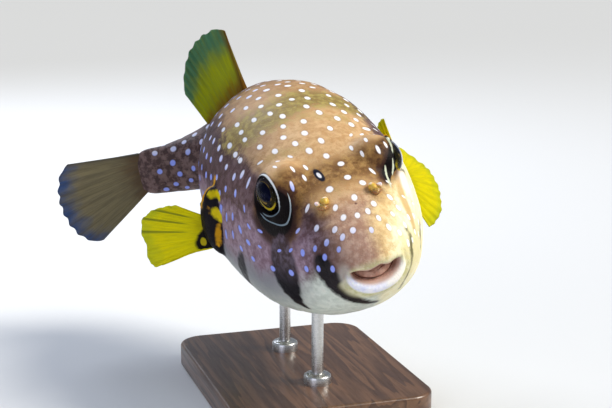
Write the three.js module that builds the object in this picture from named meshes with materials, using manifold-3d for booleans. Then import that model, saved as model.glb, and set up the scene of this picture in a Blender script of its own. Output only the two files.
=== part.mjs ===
// A white-spotted puffer (Arothron hispidus), life size, as a still museum model on a display stand.
// The fish is built straight, in a frame of its own: the snout at y = 0, the tail along +Y, its left side
// along +X and its back along +Z. The tail is then curled to the right, and the whole fish is tipped and
// banked on two rods.
// Lengths are in millimetres and angles in degrees.
import * as THREE from 'three';
import { ParametricGeometry } from 'three/addons/geometries/ParametricGeometry.js';
import { mergeVertices } from 'three/addons/utils/BufferGeometryUtils.js';
import Module from 'manifold-3d';

// ---- Driving dimensions ----

// Cross-sections of the body, from the back of the mouth out over the lips and along the fish to the tail.
// [how far back the top lies, top, keel, half width, height of the widest place, squareness of the crown,
//  squareness of the keel, how much further back the sides lie, how much further back the keel lies]
const SECTIONS = {
  mouthBack: [13, -2.5, -6.2, 3.5, -3.8, 2, 2, 0, 0],
  mouthHall: [9, -0.6, -7.6, 7.6, -3, 2, 2, 1, 0.5],
  lipInside: [4, 0.4, -8.2, 10.2, -1.6, 2, 2, 3, 1.5],
  lipEdge: [0.6, -0.2, -7.8, 11.3, -1.1, 2, 2, 3.8, 1.6],
  lipCrest: [-1, 2.4, -10.8, 13.2, -1.1, 2.1, 2.1, 4, 1.4],
  lipOuter: [0.7, 6.2, -13.8, 15.2, -1.2, 2.2, 2.2, 3.4, 1.7],
  snoutTip: [4.6, 12, -16, 17.6, -1.5, 2.2, 2.2, 1.4, 1],
  snoutFront: [10, 17.1, -20, 20.8, -2, 2.2, 2.2, 0, 0],
  nostrils: [22, 25, -29.5, 28.6, -5, 2.3, 2.2, 0, 0],
  foreEyes: [40, 34.2, -39.3, 36.6, -7, 2.5, 2.2, 0, 0],
  hindEyes: [62, 42.3, -46.1, 44.5, -8, 2.4, 2.2, 0, 0],
  gills: [90, 49.7, -49.2, 48.7, -8, 2.2, 2.2, 0, 0],
  girth: [120, 52.3, -46.4, 49.4, -6, 2.2, 2.2, 0, 0],
  hindBelly: [150, 49, -37.7, 45.5, 0, 2.1, 2.1, 0, 0],
  dorsalRoot: [178, 39.5, -22.5, 33.5, 5, 2, 2, 0, 0],
  stalkFront: [205, 25, -12.5, 19, 6, 2, 2, 0, 0],
  stalkMiddle: [228, 21.5, -7.5, 10.5, 7, 2, 2, 0, 0],
  tailRoot: [243, 22, -4.5, 6, 9, 2, 2, 0, 0],
  stalkEnd: [249, 19, -1.5, 2, 9, 2, 2, 0, 0],
};
// Rings of facets between each section and the next.
const RINGS_BETWEEN = [1, 1, 1, 1, 1, 1, 1, 3, 4, 6, 4, 4, 4, 4, 3, 2, 2, 1];
const FACETS_AROUND = 34;

// Where thin cuts part the body.
const CUT = 0.3;
const LIPS_END = 5.6;
const LIPS_PART = -1.2;
const HEAD_END = 92;
const TRUNK_END = 203;
const BELLY_TOP = -20;

// The eyes, with their centres, and the domes of skin that hold them. Each looks out sideways and a little
// forward.
const EYE = { across: 24.8, back: 49.9, up: 27.3, radius: 11.3, forward: 16, upward: 10, opening: 9.4 };
const ORBIT = { radius: 13.8, behindEye: 3, blend: 4.5 };
// The facets gather round the eyes: at this section and angle, this much closer, within about this distance.
const FOCUS = { section: 9.5, turn: 54, gather: 0.5, spread: 20, sectionLength: 22, turnRadius: 42 };

// The fleshy flap on each nostril is a pad with two raised lips. Each lobe stands at its own distances
// outwards, back and up from the nostril, and leans outwards.
const NOSTRIL = { across: 12.8, back: 24, up: 25.2 };
const NOSTRIL_LOBES = [
  { halfSizes: [2.6, 2.8, 1.8], outwards: 0, back: 0, up: -0.4, lean: 0 },
  { halfSizes: [1, 2, 2.8], outwards: 1.3, back: 0, up: 1.6, lean: 28 },
  { halfSizes: [1, 1.8, 2.6], outwards: -1.1, back: -0.3, up: 1.7, lean: -18 },
];

// The mouth's lining, a thin cup behind the lips.
const LINING = 1.2;

// The tail curls to the fish's right from CURL.start on and droops from DROOP.start on.
const CURL = { start: 141, end: 235, angle: 85 };
const DROOP = { start: 160, end: 240, depth: 8 };

// How the fish hangs in its own stream: head down and its right side low.
const PITCH = 7;
const BANK = -14;
const FISH_PLACE = { x: 4, y: -102, z: 90 };

// The fleshy base of each pectoral fin, a tall pad on the flank, and the line on it where the rays begin.
const PECTORAL_PAD = { across: 46.5, back: 101, up: 1, halfSizes: [8, 7.5, 18.5], lean: 4 };
const PECTORAL_FOOT = { across: 52, back: 103, top: 12, bottom: -13 };

// The stand: a flat base and two rods that end in blind sockets in the belly.
const BASE = { width: 104, length: 130, thickness: 12, corner: 14, bevel: 1.5 };
const ROD = { radius: 3, sides: 16, front: { y: -30, top: 68 }, rear: { y: 26, top: 70 } };
const COLLAR = { radius: 7, height: 5, chamfer: 1.2 };

const { degToRad, lerp, clamp } = THREE.MathUtils;
const wasm = await Module();
wasm.setup();

// ---- Solids: joining and cutting ----

// A closed geometry as a solid. Facets that have shrunk to a line are dropped, and a geometry that is inside
// out is turned.
function solidOf(geometry) {
  const bare = geometry.clone();
  bare.deleteAttribute('normal');
  bare.deleteAttribute('uv');
  const merged = mergeVertices(bare, 1e-4);
  const corners = merged.index.array;
  const vertProperties = new Float32Array(merged.attributes.position.array);
  const outwards = [];
  const inwards = [];
  for (let i = 0; i < corners.length; i += 3) {
    const [a, b, c] = [corners[i], corners[i + 1], corners[i + 2]];
    if (a === b || b === c || c === a) continue;
    outwards.push(a, b, c);
    inwards.push(b, a, c);
  }
  const made = (triangles) => new wasm.Manifold(
    new wasm.Mesh({ numProp: 3, vertProperties, triVerts: new Uint32Array(triangles) }),
  );
  const solid = made(outwards);
  return solid.volume() < 0 ? made(inwards) : solid;
}

function geometryOf(solid) {
  const mesh = solid.getMesh();
  const geometry = new THREE.BufferGeometry();
  geometry.setAttribute('position', new THREE.BufferAttribute(new Float32Array(mesh.vertProperties), 3));
  geometry.setIndex(new THREE.BufferAttribute(new Uint32Array(mesh.triVerts), 1));
  geometry.computeVertexNormals();
  return geometry;
}

// A box between two corners, used to keep one stretch of the body.
function boxSolid(low, high) {
  const size = high.map((value, axis) => value - low[axis]);
  const middle = high.map((value, axis) => (value + low[axis]) / 2);
  return solidOf(new THREE.BoxGeometry(...size).translate(...middle));
}

const FAR = 400;
const between = (front, back) => boxSolid([-FAR, front, -FAR], [FAR, back, FAR]);
const above = (height) => boxSolid([-FAR, -FAR, height], [FAR, FAR, FAR]);
const below = (height) => boxSolid([-FAR, -FAR, -FAR], [FAR, FAR, height]);

// ---- The body's surface ----

// A smooth curve through rows of numbers, with t counting the rows.
function throughRows(rows, t) {
  const last = rows.length - 1;
  const i = Math.min(Math.floor(clamp(t, 0, last)), last - 1);
  const u = clamp(t, 0, last) - i;
  const p1 = rows[i];
  const p2 = rows[i + 1];
  return p1.map((b, k) => {
    const c = p2[k];
    const a = i > 0 ? rows[i - 1][k] : 2 * b - c;
    const d = i + 2 <= last ? rows[i + 2][k] : 2 * c - b;
    return b + 0.5 * u * (c - a + u * (2 * a - 5 * b + 4 * c - d + u * (3 * (b - c) + d - a)));
  });
}

const bodyRows = Object.values(SECTIONS);
const sides = { left: 1, right: -1 };
const rounded = (value, squareness) => Math.sign(value) * Math.abs(value) ** (2 / squareness);

// The point at place t along the body and at an angle around it: 0 on the fish's left, a quarter turn on top.
function bodyPoint(t, turn, target) {
  const [back, top, keel, half, widest, crown, base, sideBack, keelBack] = throughRows(bodyRows, t);
  const across = Math.cos(turn);
  const rise = Math.sin(turn);
  const squareness = rise > 0 ? crown : base;
  const reach = rise > 0 ? top - widest : widest - keel;
  const setBack = lerp(sideBack, rise > 0 ? 0 : keelBack, rise * rise);
  target.set(half * rounded(across, squareness), back + setBack, widest + reach * rounded(rise, squareness));
  return target;
}

const eyeAxis = (side) => new THREE.Vector3(
  side * Math.cos(degToRad(EYE.forward)) * Math.cos(degToRad(EYE.upward)),
  -Math.sin(degToRad(EYE.forward)) * Math.cos(degToRad(EYE.upward)),
  Math.sin(degToRad(EYE.upward)),
);
const eyeCentre = (side) => new THREE.Vector3(side * EYE.across, EYE.back, EYE.up);

// Turns a geometry's +Y pole to a direction.
function aimAlong(geometry, direction) {
  const turn = new THREE.Quaternion().setFromUnitVectors(new THREE.Vector3(0, 1, 0), direction);
  return geometry.applyQuaternion(turn);
}

// The skin swells into a dome round each eye: points nearer the dome's centre than its radius move out to it.
function swellOrbits(point) {
  for (const side of Object.values(sides)) {
    const centre = eyeCentre(side).addScaledVector(eyeAxis(side), -ORBIT.behindEye);
    const reach = point.distanceTo(centre);
    const overlap = Math.max(ORBIT.blend - Math.abs(reach - ORBIT.radius), 0) / ORBIT.blend;
    const swollen = Math.max(reach, ORBIT.radius) + overlap * overlap * ORBIT.blend / 4;
    point.sub(centre).multiplyScalar(swollen / reach).add(centre);
  }
  return point;
}

// Draws a place on the body, as a section number and an angle, closer to the nearer eye.
function gathered(t, turn) {
  const side = Math.cos(turn) < 0 ? sides.right : sides.left;
  const eyeTurn = side > 0 ? degToRad(FOCUS.turn) : Math.PI - degToRad(FOCUS.turn);
  const along = (t - FOCUS.section) * FOCUS.sectionLength;
  const around = Math.atan2(Math.sin(turn - eyeTurn), Math.cos(turn - eyeTurn)) * FOCUS.turnRadius;
  const nearness = Math.exp(-(along * along + around * around) / FOCUS.spread ** 2);
  const pull = FOCUS.gather * nearness * THREE.MathUtils.smoothstep(Math.abs(Math.cos(turn)), 0, 0.4);
  return [t - pull * along / FOCUS.sectionLength, turn - pull * around / FOCUS.turnRadius];
}

const bodyRings = RINGS_BETWEEN.flatMap((count, i) => Array.from({ length: count }, (_, k) => i + k / count));
bodyRings.push(bodyRows.length - 1);

// The whole body as one closed surface; both end rings close on a point. grow moves every point outwards.
function bodySolid(grow = 0) {
  const lastRing = bodyRings.length - 1;
  const step = 0.01;
  const along = new THREE.Vector3();
  const around = new THREE.Vector3();
  const placeAt = (t, turn, target) => swellOrbits(bodyPoint(t, turn, target));
  const surface = (u, v, target) => {
    const ring = Math.round(v * (lastRing + 2)) - 1;
    const turn = Math.round(u * FACETS_AROUND) % FACETS_AROUND * 2 * Math.PI / FACETS_AROUND;
    if (ring < 0 || ring > lastRing) {
      const [back, top, keel] = bodyRows[ring < 0 ? 0 : bodyRows.length - 1];
      target.set(0, back + (ring < 0 ? 1 - grow : grow + 0.5), (top + keel) / 2);
      return;
    }
    const [t, angle] = gathered(bodyRings[ring], turn);
    placeAt(t, angle, target);
    if (grow === 0) return;
    placeAt(t, angle + step, around).sub(target);
    placeAt(t + step, angle, along).sub(placeAt(t - step, angle, new THREE.Vector3()));
    target.addScaledVector(along.cross(around).normalize(), grow);
  };
  return solidOf(new ParametricGeometry(surface, FACETS_AROUND, lastRing + 2));
}

// The middle of the back lies on this curve: across and back for each y of the straight fish.
function spineAt(y) {
  const steps = 24;
  const stretch = (y - CURL.start) / steps;
  let across = 0;
  let back = CURL.start;
  for (let i = 0; i < steps; i++) {
    const angle = curlAngle(CURL.start + stretch * (i + 0.5));
    across -= Math.sin(angle) * stretch;
    back += Math.cos(angle) * stretch;
  }
  return [across, back];
}

function curlAngle(y) {
  return degToRad(CURL.angle) * THREE.MathUtils.smoothstep(y, CURL.start, CURL.end);
}

// Curls and droops the tail end of a straight geometry.
function curled(geometry) {
  const place = geometry.attributes.position;
  for (let i = 0; i < place.count; i++) {
    const [x, y, z] = [place.getX(i), place.getY(i), place.getZ(i)];
    const drooped = z - DROOP.depth * THREE.MathUtils.smoothstep(y, DROOP.start, DROOP.end);
    if (y > CURL.start) {
      const [across, back] = spineAt(y);
      const angle = curlAngle(y);
      place.setXYZ(i, across + x * Math.cos(angle), back + x * Math.sin(angle), drooped);
    } else {
      place.setXYZ(i, x, y, drooped);
    }
  }
  geometry.computeVertexNormals();
  return geometry;
}

// ---- Fins ----

// A fin is a thin fan of rays. root and aim give each ray's foot and direction and reach its length, with u
// running from the leading ray to the last. Every second facet edge is a ray, thicker than the web between
// and a little longer.
function finGeometry({ rays, steps, root, aim, reach, footThickness, edgeThickness, scallop = 0.05 }) {
  const box = new THREE.BoxGeometry(1, 1, 1, 2 * rays, steps, 1);
  const place = box.attributes.position;
  const webOf = (u) => Math.abs(Math.sin(Math.PI * rays * u));
  const middle = (u, v) => {
    const length = reach(u) * v * (1 - scallop * webOf(u) * v);
    return root(u).clone().addScaledVector(aim(u, v).normalize(), length);
  };
  const step = 1e-3;
  for (let i = 0; i < place.count; i++) {
    const u = place.getX(i) + 0.5;
    const v = place.getY(i) + 0.5;
    const centre = middle(u, v);
    const smooth = (a, b) => root(a).clone().addScaledVector(aim(a, b).normalize(), reach(a) * b);
    const across = smooth(u + step, v).sub(smooth(u - step, v));
    const outwards = smooth(u, v + step).sub(smooth(u, v - step));
    const normal = across.cross(outwards).normalize();
    const thickness = lerp(footThickness, edgeThickness, v ** 0.7) * (1 - 0.3 * webOf(u));
    centre.addScaledVector(normal, thickness * place.getZ(i));
    place.setXYZ(i, centre.x, centre.y, centre.z);
  }
  return box;
}

const profile = (...values) => (u) => throughRows(values.map((value) => [value]), u * (values.length - 1))[0];
const onLine = (from, to) => (u) => new THREE.Vector3(...from).lerp(new THREE.Vector3(...to), u);
const middleLine = (from, to) => onLine([0, ...from], [0, ...to]);

// A direction that leans back from straight out to the side, and up or down.
function sideAim(side, backward, upward) {
  const [lean, lift] = [degToRad(backward), degToRad(upward)];
  const level = new THREE.Vector3(side * Math.cos(lean), Math.sin(lean), 0);
  return level.multiplyScalar(Math.cos(lift)).setZ(Math.sin(lift));
}

// A direction in the fish's middle plane, up from straight back.
function middleAim(upward) {
  return new THREE.Vector3(0, Math.cos(degToRad(upward)), Math.sin(degToRad(upward)));
}

// ---- Materials ----

const skinBrown = new THREE.MeshStandardMaterial({ color: 0x8a6a4a, roughness: 0.5, metalness: 0 });
const bellyWhite = new THREE.MeshStandardMaterial({ color: 0xd9dccb, roughness: 0.5, metalness: 0 });
const lipCream = new THREE.MeshStandardMaterial({ color: 0xd8c9a8, roughness: 0.4, metalness: 0 });
const mouthRed = new THREE.MeshStandardMaterial({ color: 0x7a4638, roughness: 0.4, metalness: 0 });
const stalkBrown = new THREE.MeshStandardMaterial({ color: 0x4b3528, roughness: 0.55, metalness: 0 });
const eyeDark = new THREE.MeshStandardMaterial({ color: 0x0b0f1e, roughness: 0.08, metalness: 0 });
const flapGold = new THREE.MeshStandardMaterial({ color: 0xc08a2a, roughness: 0.4, metalness: 0 });
const baseBlack = new THREE.MeshStandardMaterial({ color: 0x15110f, roughness: 0.5, metalness: 0 });
const finYellow = new THREE.MeshStandardMaterial({ color: 0xd8d010, roughness: 0.45, metalness: 0 });
const finOlive = new THREE.MeshStandardMaterial({ color: 0x6b6a35, roughness: 0.5, metalness: 0 });
const standWood = new THREE.MeshStandardMaterial({ color: 0x3a2418, roughness: 0.45, metalness: 0 });
const standSteel = new THREE.MeshStandardMaterial({ color: 0x9a9c9e, roughness: 0.3, metalness: 1 });

const group = new THREE.Group();
const fish = new THREE.Group();
fish.rotation.set(degToRad(PITCH), degToRad(BANK), 0);
fish.position.set(FISH_PLACE.x, FISH_PLACE.y, FISH_PLACE.z);
fish.updateMatrix();
group.add(fish);

function addMesh(parent, name, geometry, material) {
  const mesh = new THREE.Mesh(geometry, material);
  mesh.name = name;
  parent.add(mesh);
  return mesh;
}

// ---- Stand: a flat base, two rods and their collars ----

function baseGeometry() {
  const [x, y] = [BASE.width / 2 - BASE.bevel, BASE.length / 2 - BASE.bevel];
  const corner = BASE.corner;
  const outline = new THREE.Shape();
  outline.absarc(x - corner, y - corner, corner, 0, Math.PI / 2);
  outline.absarc(corner - x, y - corner, corner, Math.PI / 2, Math.PI);
  outline.absarc(corner - x, corner - y, corner, Math.PI, 1.5 * Math.PI);
  outline.absarc(x - corner, corner - y, corner, 1.5 * Math.PI, 2 * Math.PI);
  const plate = new THREE.ExtrudeGeometry(outline, {
    depth: BASE.thickness - 2 * BASE.bevel,
    curveSegments: 4,
    bevelEnabled: true,
    bevelThickness: BASE.bevel,
    bevelSize: BASE.bevel,
    bevelSegments: 1,
  });
  return geometryOf(solidOf(plate.translate(0, 0, BASE.bevel)));
}

function rodGeometry({ y, top }, radius) {
  const rod = new THREE.CylinderGeometry(radius, radius, top - BASE.thickness, ROD.sides);
  return rod.rotateX(Math.PI / 2).translate(0, y, (BASE.thickness + top) / 2);
}

// A turned ring that covers the joint of a rod and the base.
function collarGeometry({ y }) {
  const { radius, height, chamfer } = COLLAR;
  const inner = ROD.radius + CUT;
  const outside = [[radius, 0], [radius, height - chamfer], [radius - chamfer, height]];
  const outline = [[inner, 0], ...outside, [inner, height], [inner, 0]];
  const corners = outline.map(([r, z]) => new THREE.Vector2(r, z));
  const ring = new THREE.LatheGeometry(corners, ROD.sides).rotateX(Math.PI / 2);
  return geometryOf(solidOf(ring.translate(0, y, BASE.thickness)));
}

addMesh(group, 'stand_base', baseGeometry(), standWood);
const rodSockets = [];
for (const [name, { y, top }] of Object.entries({ front: ROD.front, rear: ROD.rear })) {
  addMesh(group, `stand_rod_${name}`, rodGeometry({ y, top }, ROD.radius), standSteel);
  addMesh(group, `stand_collar_${name}`, collarGeometry({ y }), standSteel);
  const socket = rodGeometry({ y, top: top + CUT }, ROD.radius + CUT);
  rodSockets.push(solidOf(socket.applyMatrix4(fish.matrix.clone().invert())));
}

// ---- Head, trunk, belly, tail stalk and lips: one body, parted by thin cuts ----

const body = bodySolid();
const grownBody = bodySolid(CUT);

// The lining of the mouth is a cup: the mouth's first sections, swollen by a thickness and closed at the rim.
function mouthCup(thickness, rim) {
  const rows = bodyRows.slice(0, 3);
  const lastRing = rows.length - 1;
  const surface = (u, v, target) => {
    const turn = Math.round(u * FACETS_AROUND) % FACETS_AROUND * 2 * Math.PI / FACETS_AROUND;
    const ring = Math.round(v * (lastRing + 2)) - 1;
    const [back, top, keel] = rows[clamp(ring, 0, lastRing)];
    const middle = (top + keel) / 2;
    if (ring < 0 || ring > lastRing) {
      target.set(0, ring < 0 ? back + 1 + thickness : rim, middle);
      return;
    }
    bodyPoint(ring, turn, target);
    target.x += Math.sign(target.x) * Math.min(Math.abs(target.x), thickness);
    target.y = ring === lastRing ? rim : target.y + thickness / 2;
    target.z = middle + (target.z - middle) * (1 + 2 * thickness / (top - keel));
  };
  return solidOf(new ParametricGeometry(surface, FACETS_AROUND, lastRing + 2));
}

const mouthHollow = mouthCup(LINING + CUT, LIPS_END);
const mouthLining = mouthCup(LINING, LIPS_END + CUT).subtract(mouthCup(0, LIPS_END - LINING));

let head = body.intersect(between(LIPS_END + CUT, HEAD_END)).subtract(mouthHollow);
for (const side of Object.values(sides)) {
  const socket = new THREE.SphereGeometry(EYE.radius + CUT, 16, 10);
  const opening = new THREE.CylinderGeometry(EYE.opening, EYE.opening, EYE.radius, 24);
  opening.translate(0, EYE.radius, 0);
  for (const cutter of [socket, opening]) {
    head = head.subtract(solidOf(aimAlong(cutter, eyeAxis(side)).translate(...eyeCentre(side))));
  }
}

const lips = body.intersect(between(-FAR, LIPS_END));
const trunk = body.intersect(between(HEAD_END + CUT, TRUNK_END));
const stalk = body.intersect(between(TRUNK_END + CUT, FAR));

function withoutRods(geometry) {
  return geometryOf(rodSockets.reduce((solid, socket) => solid.subtract(socket), solidOf(geometry)));
}

addMesh(fish, 'head', withoutRods(geometryOf(head)), skinBrown);
addMesh(fish, 'upper_lip', geometryOf(lips.intersect(above(LIPS_PART + CUT / 2))), lipCream);
addMesh(fish, 'lower_lip', geometryOf(lips.intersect(below(LIPS_PART - CUT / 2))), lipCream);
addMesh(fish, 'mouth_lining', geometryOf(mouthLining), mouthRed);
addMesh(fish, 'trunk', withoutRods(curled(geometryOf(trunk.intersect(above(BELLY_TOP + CUT))))), skinBrown);
addMesh(fish, 'belly', withoutRods(curled(geometryOf(trunk.intersect(below(BELLY_TOP))))), bellyWhite);
addMesh(fish, 'tail_stalk', curled(geometryOf(stalk)), stalkBrown);

// ---- Eyes, nostril flaps and the fleshy bases of the pectoral fins, one on each side ----

// A flap of flesh: an ellipsoid of three half sizes, turned and placed.
function lobe(halfSizes, place, lean = 0, detail = 7) {
  const ball = new THREE.SphereGeometry(1, detail, Math.ceil(detail * 0.7)).scale(...halfSizes);
  return solidOf(ball.rotateY(degToRad(lean)).translate(...place));
}

function pectoralPad(side, grow = 0) {
  const { across, back, up, halfSizes, lean } = PECTORAL_PAD;
  return lobe(halfSizes.map((size) => size + grow), [side * across, back, up], side * lean, 14);
}

for (const [name, side] of Object.entries(sides)) {
  const ball = new THREE.SphereGeometry(EYE.radius, 16, 10);
  addMesh(fish, `eye_${name}`, aimAlong(ball, eyeAxis(side)).translate(...eyeCentre(side)), eyeDark);

  const flap = NOSTRIL_LOBES.map(({ halfSizes, outwards, back, up, lean }) => lobe(
    halfSizes,
    [side * (NOSTRIL.across + outwards), NOSTRIL.back + back, NOSTRIL.up + up],
    side * lean,
  )).reduce((whole, part) => whole.add(part));
  addMesh(fish, `nostril_${name}`, geometryOf(flap.subtract(grownBody)), flapGold);

  addMesh(fish, `pectoral_base_${name}`, geometryOf(pectoralPad(side).subtract(grownBody)), baseBlack);
}

// ---- Pectoral fins: the right one held out flat, the left one swept down in mid stroke ----

const pectoralStroke = {
  right: {
    backward: profile(10, 16, 20, 24, 28, 34),
    upward: profile(10, 13, 6, -7, -20, -10),
    reach: profile(16, 29, 35, 36, 36, 15),
  },
  left: {
    backward: profile(97, 92, 60, 40, 28, 24),
    upward: profile(48, 12, -18, -30, -46, -67),
    reach: profile(18, 24, 37, 38, 39, 33),
  },
};

for (const [name, side] of Object.entries(sides)) {
  const { backward, upward, reach } = pectoralStroke[name];
  const { across, back, top, bottom } = PECTORAL_FOOT;
  const fin = finGeometry({
    rays: 8,
    steps: 3,
    root: onLine([side * across, back, top], [side * across, back, bottom]),
    aim: (u) => sideAim(side, backward(u), upward(u)),
    reach,
    footThickness: 1.8,
    edgeThickness: 0.9,
  });
  const clear = solidOf(fin).subtract(pectoralPad(side, CUT)).subtract(grownBody);
  addMesh(fish, `pectoral_fin_${name}`, geometryOf(clear), finYellow);
}

// ---- Fins in the middle plane: dorsal, anal and tail ----

const middleFins = {
  dorsal_fin: {
    material: finOlive,
    rays: 7,
    steps: 3,
    root: middleLine([173, 41], [203, 23]),
    upward: profile(78, 72, 69, 68, 66),
    reach: profile(38, 42, 42, 37, 27),
    footThickness: 4,
  },
  anal_fin: {
    material: finOlive,
    rays: 6,
    steps: 3,
    root: middleLine([184, -15], [207, -8]),
    upward: profile(-72, -66, -60, -52, -40),
    reach: profile(30, 33, 31, 26, 18),
    footThickness: 3.4,
  },
  tail_fin: {
    material: finOlive,
    rays: 8,
    steps: 3,
    root: middleLine([246, 21], [246, -2]),
    upward: profile(6, -4, -14, -24, -35),
    reach: profile(44, 50, 52, 50, 43),
    footThickness: 3.6,
  },
};

for (const [name, { material, upward, ...shape }] of Object.entries(middleFins)) {
  const fin = finGeometry({ ...shape, aim: (u) => middleAim(upward(u)), edgeThickness: 0.9 });
  addMesh(fish, name, curled(geometryOf(solidOf(fin).subtract(grownBody))), material);
}

export default group;
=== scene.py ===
"""A white-spotted puffer, life size, as a still museum model on a display stand.

The fish is shaped straight, in millimetres, in a frame of its own: the snout at y = 0, the tail along +Y,
its left side along +X and its back along +Z. The tail is then curled to its right, and the whole fish is
tipped and banked onto the two rods of its stand.
"""
import math

import bpy
import numpy as np
from mathutils import Matrix, Vector


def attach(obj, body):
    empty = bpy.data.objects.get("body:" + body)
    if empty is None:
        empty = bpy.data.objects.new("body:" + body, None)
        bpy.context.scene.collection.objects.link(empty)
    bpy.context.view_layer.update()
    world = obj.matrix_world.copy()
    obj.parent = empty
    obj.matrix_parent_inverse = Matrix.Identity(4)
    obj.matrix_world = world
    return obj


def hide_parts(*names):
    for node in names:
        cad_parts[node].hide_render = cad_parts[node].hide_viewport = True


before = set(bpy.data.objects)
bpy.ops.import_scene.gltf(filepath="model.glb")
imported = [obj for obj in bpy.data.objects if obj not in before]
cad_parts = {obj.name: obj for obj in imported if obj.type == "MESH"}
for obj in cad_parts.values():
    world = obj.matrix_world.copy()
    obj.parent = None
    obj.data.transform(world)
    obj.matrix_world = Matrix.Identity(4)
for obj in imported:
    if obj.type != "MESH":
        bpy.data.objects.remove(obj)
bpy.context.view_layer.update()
MM = 0.001


# ---- The skin ----
# One skin covers the whole body, from the back of the mouth out over the lips and along to the tail. It is
# cast in flexible resin and painted, tight over the belly and soft round the lips and eyes. The rods of the
# stand push into two sockets under it.

# Each row is a cross-section: how far back the top lies, top, keel, half width, height of the widest place,
# squareness of the crown and of the keel, how much further back the sides lie, and the keel.
SECTIONS = {
    "mouth back": (13, -2.5, -6.2, 3.5, -3.8, 2, 2, 0, 0),
    "mouth hall": (9, -0.6, -7.6, 7.6, -3, 2, 2, 1, 0.5),
    "lip inside": (4, 0.4, -8.2, 10.2, -1.6, 2, 2, 3, 1.5),
    "lip edge": (0.6, -0.2, -7.8, 11.3, -1.1, 2, 2, 3.8, 1.6),
    "lip crest": (-1, 2.4, -10.8, 13.2, -1.1, 2.1, 2.1, 4, 1.4),
    "lip outer": (0.7, 6.2, -13.8, 15.2, -1.2, 2.2, 2.2, 3.4, 1.7),
    "snout tip": (4.6, 12, -16, 17.6, -1.5, 2.2, 2.2, 1.4, 1),
    "snout front": (10, 17.1, -20, 20.8, -2, 2.2, 2.2, 0, 0),
    "nostrils": (22, 25, -29.5, 28.6, -5, 2.3, 2.2, 0, 0),
    "fore eyes": (40, 34.2, -39.3, 36.6, -7, 2.5, 2.2, 0, 0),
    "hind eyes": (62, 42.3, -46.1, 44.5, -8, 2.4, 2.2, 0, 0),
    "gills": (90, 49.7, -49.2, 48.7, -8, 2.2, 2.2, 0, 0),
    "girth": (120, 52.3, -46.4, 49.4, -6, 2.2, 2.2, 0, 0),
    "hind belly": (150, 49, -37.7, 45.5, 0, 2.1, 2.1, 0, 0),
    "dorsal root": (178, 39.5, -22.5, 33.5, 5, 2, 2, 0, 0),
    "stalk front": (205, 25, -12.5, 19, 6, 2, 2, 0, 0),
    "stalk middle": (228, 21.5, -7.5, 10.5, 7, 2, 2, 0, 0),
    "tail root": (243, 22, -4.5, 6, 9, 2, 2, 0, 0),
    "stalk end": (249, 19, -1.5, 2, 9, 2, 2, 0, 0),
}
section_rows = np.array(list(SECTIONS.values()), float)
section_names = list(SECTIONS)
LIP_EDGE = section_names.index("lip edge")
SNOUT_TIP = section_names.index("snout tip")
LAST_SECTION = len(section_rows) - 1


def through_rows(rows, t):
    """A smooth curve through rows of numbers, with t counting the rows."""
    rows = np.asarray(rows, float).reshape(len(rows), -1)
    padded = np.vstack([2 * rows[0] - rows[1], rows, 2 * rows[-1] - rows[-2]])
    t = np.clip(np.asarray(t, float), 0, len(rows) - 1)
    i = np.minimum(t.astype(int), len(rows) - 2)
    u = (t - i)[..., None]
    a, b, c, d = (padded[i + k] for k in range(4))
    return b + 0.5 * u * (c - a + u * (2 * a - 5 * b + 4 * c - d + u * (3 * (b - c) + d - a)))


def profile(values, u):
    """A smooth curve through single numbers, with u running from 0 to 1."""
    return through_rows(values, np.asarray(u) * (len(values) - 1))[..., 0]


def smoothstep(low, high, value):
    """0 below low, 1 above high, and a smooth rise between."""
    u = np.clip((value - low) / (high - low), 0, 1)
    return u * u * (3 - 2 * u)


def hump(distance, width):
    """A bell of height 1 that fades over a width."""
    return np.exp(-(distance / width) ** 2)


def body_point(t, turn):
    """The place on the body at section t and an angle, 0 on the fish's left and a quarter turn on top."""
    values = np.moveaxis(through_rows(section_rows, t), -1, 0)
    back, top, keel, half, widest, crown, base, side_back, keel_back = values
    across, rise = np.cos(turn), np.sin(turn)
    squareness = np.where(rise > 0, crown, base)
    reach = np.where(rise > 0, top - widest, widest - keel)

    def rounded(value):
        return np.sign(value) * np.abs(value) ** (2 / squareness)

    set_back = side_back + (np.where(rise > 0, 0, keel_back) - side_back) * rise**2
    return np.stack([half * rounded(across), back + set_back, widest + reach * rounded(rise)], -1)


EYE = {"across": 24.8, "back": 49.9, "up": 27.3, "radius": 11.3, "upward": 10}
# The eyes move on their own: the left one looks further back and is rolled upwards in front.
EYE_FORWARD, EYE_ROLL = {-1: 16, 1: 6}, {-1: 0, 1: 18}
ORBIT = {"radius": 13.8, "behind": 3, "blend": 4.5}
sides = {"left": 1, "right": -1}


def eye_frame(side):
    """The eye's centre, and the unit vectors out along its axis, forwards and upwards across it."""
    forward, upward, roll = (math.radians(a) for a in (EYE_FORWARD[side], EYE["upward"], EYE_ROLL[side]))
    level = math.cos(upward)
    out = np.array([side * math.cos(forward) * level, -math.sin(forward) * level, math.sin(upward)])
    ahead = np.array([0, -1, 0]) + out[1] * out
    ahead /= np.linalg.norm(ahead)
    up = np.cross(out, ahead) * -side
    ahead, up = ahead * math.cos(roll) + up * math.sin(roll), up * math.cos(roll) - ahead * math.sin(roll)
    return np.array([side * EYE["across"], EYE["back"], EYE["up"]]), out, ahead, up


def eye_polar(points, side):
    """How far each point lies out along an eye's axis and away from it, and its angle from ahead."""
    centre, out, ahead, up = eye_frame(side)
    offset = points - centre
    x, y = offset @ ahead, offset @ up
    return offset @ out, np.hypot(x, y), np.degrees(np.arctan2(y, x))


def swollen_reach(reach, radius, blend):
    """Moves reaches that fall short of a radius out to it, with a soft blend of the given width."""
    overlap = np.maximum(blend - np.abs(reach - radius), 0) / blend
    return np.maximum(reach, radius) + overlap**2 * blend / 4


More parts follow.
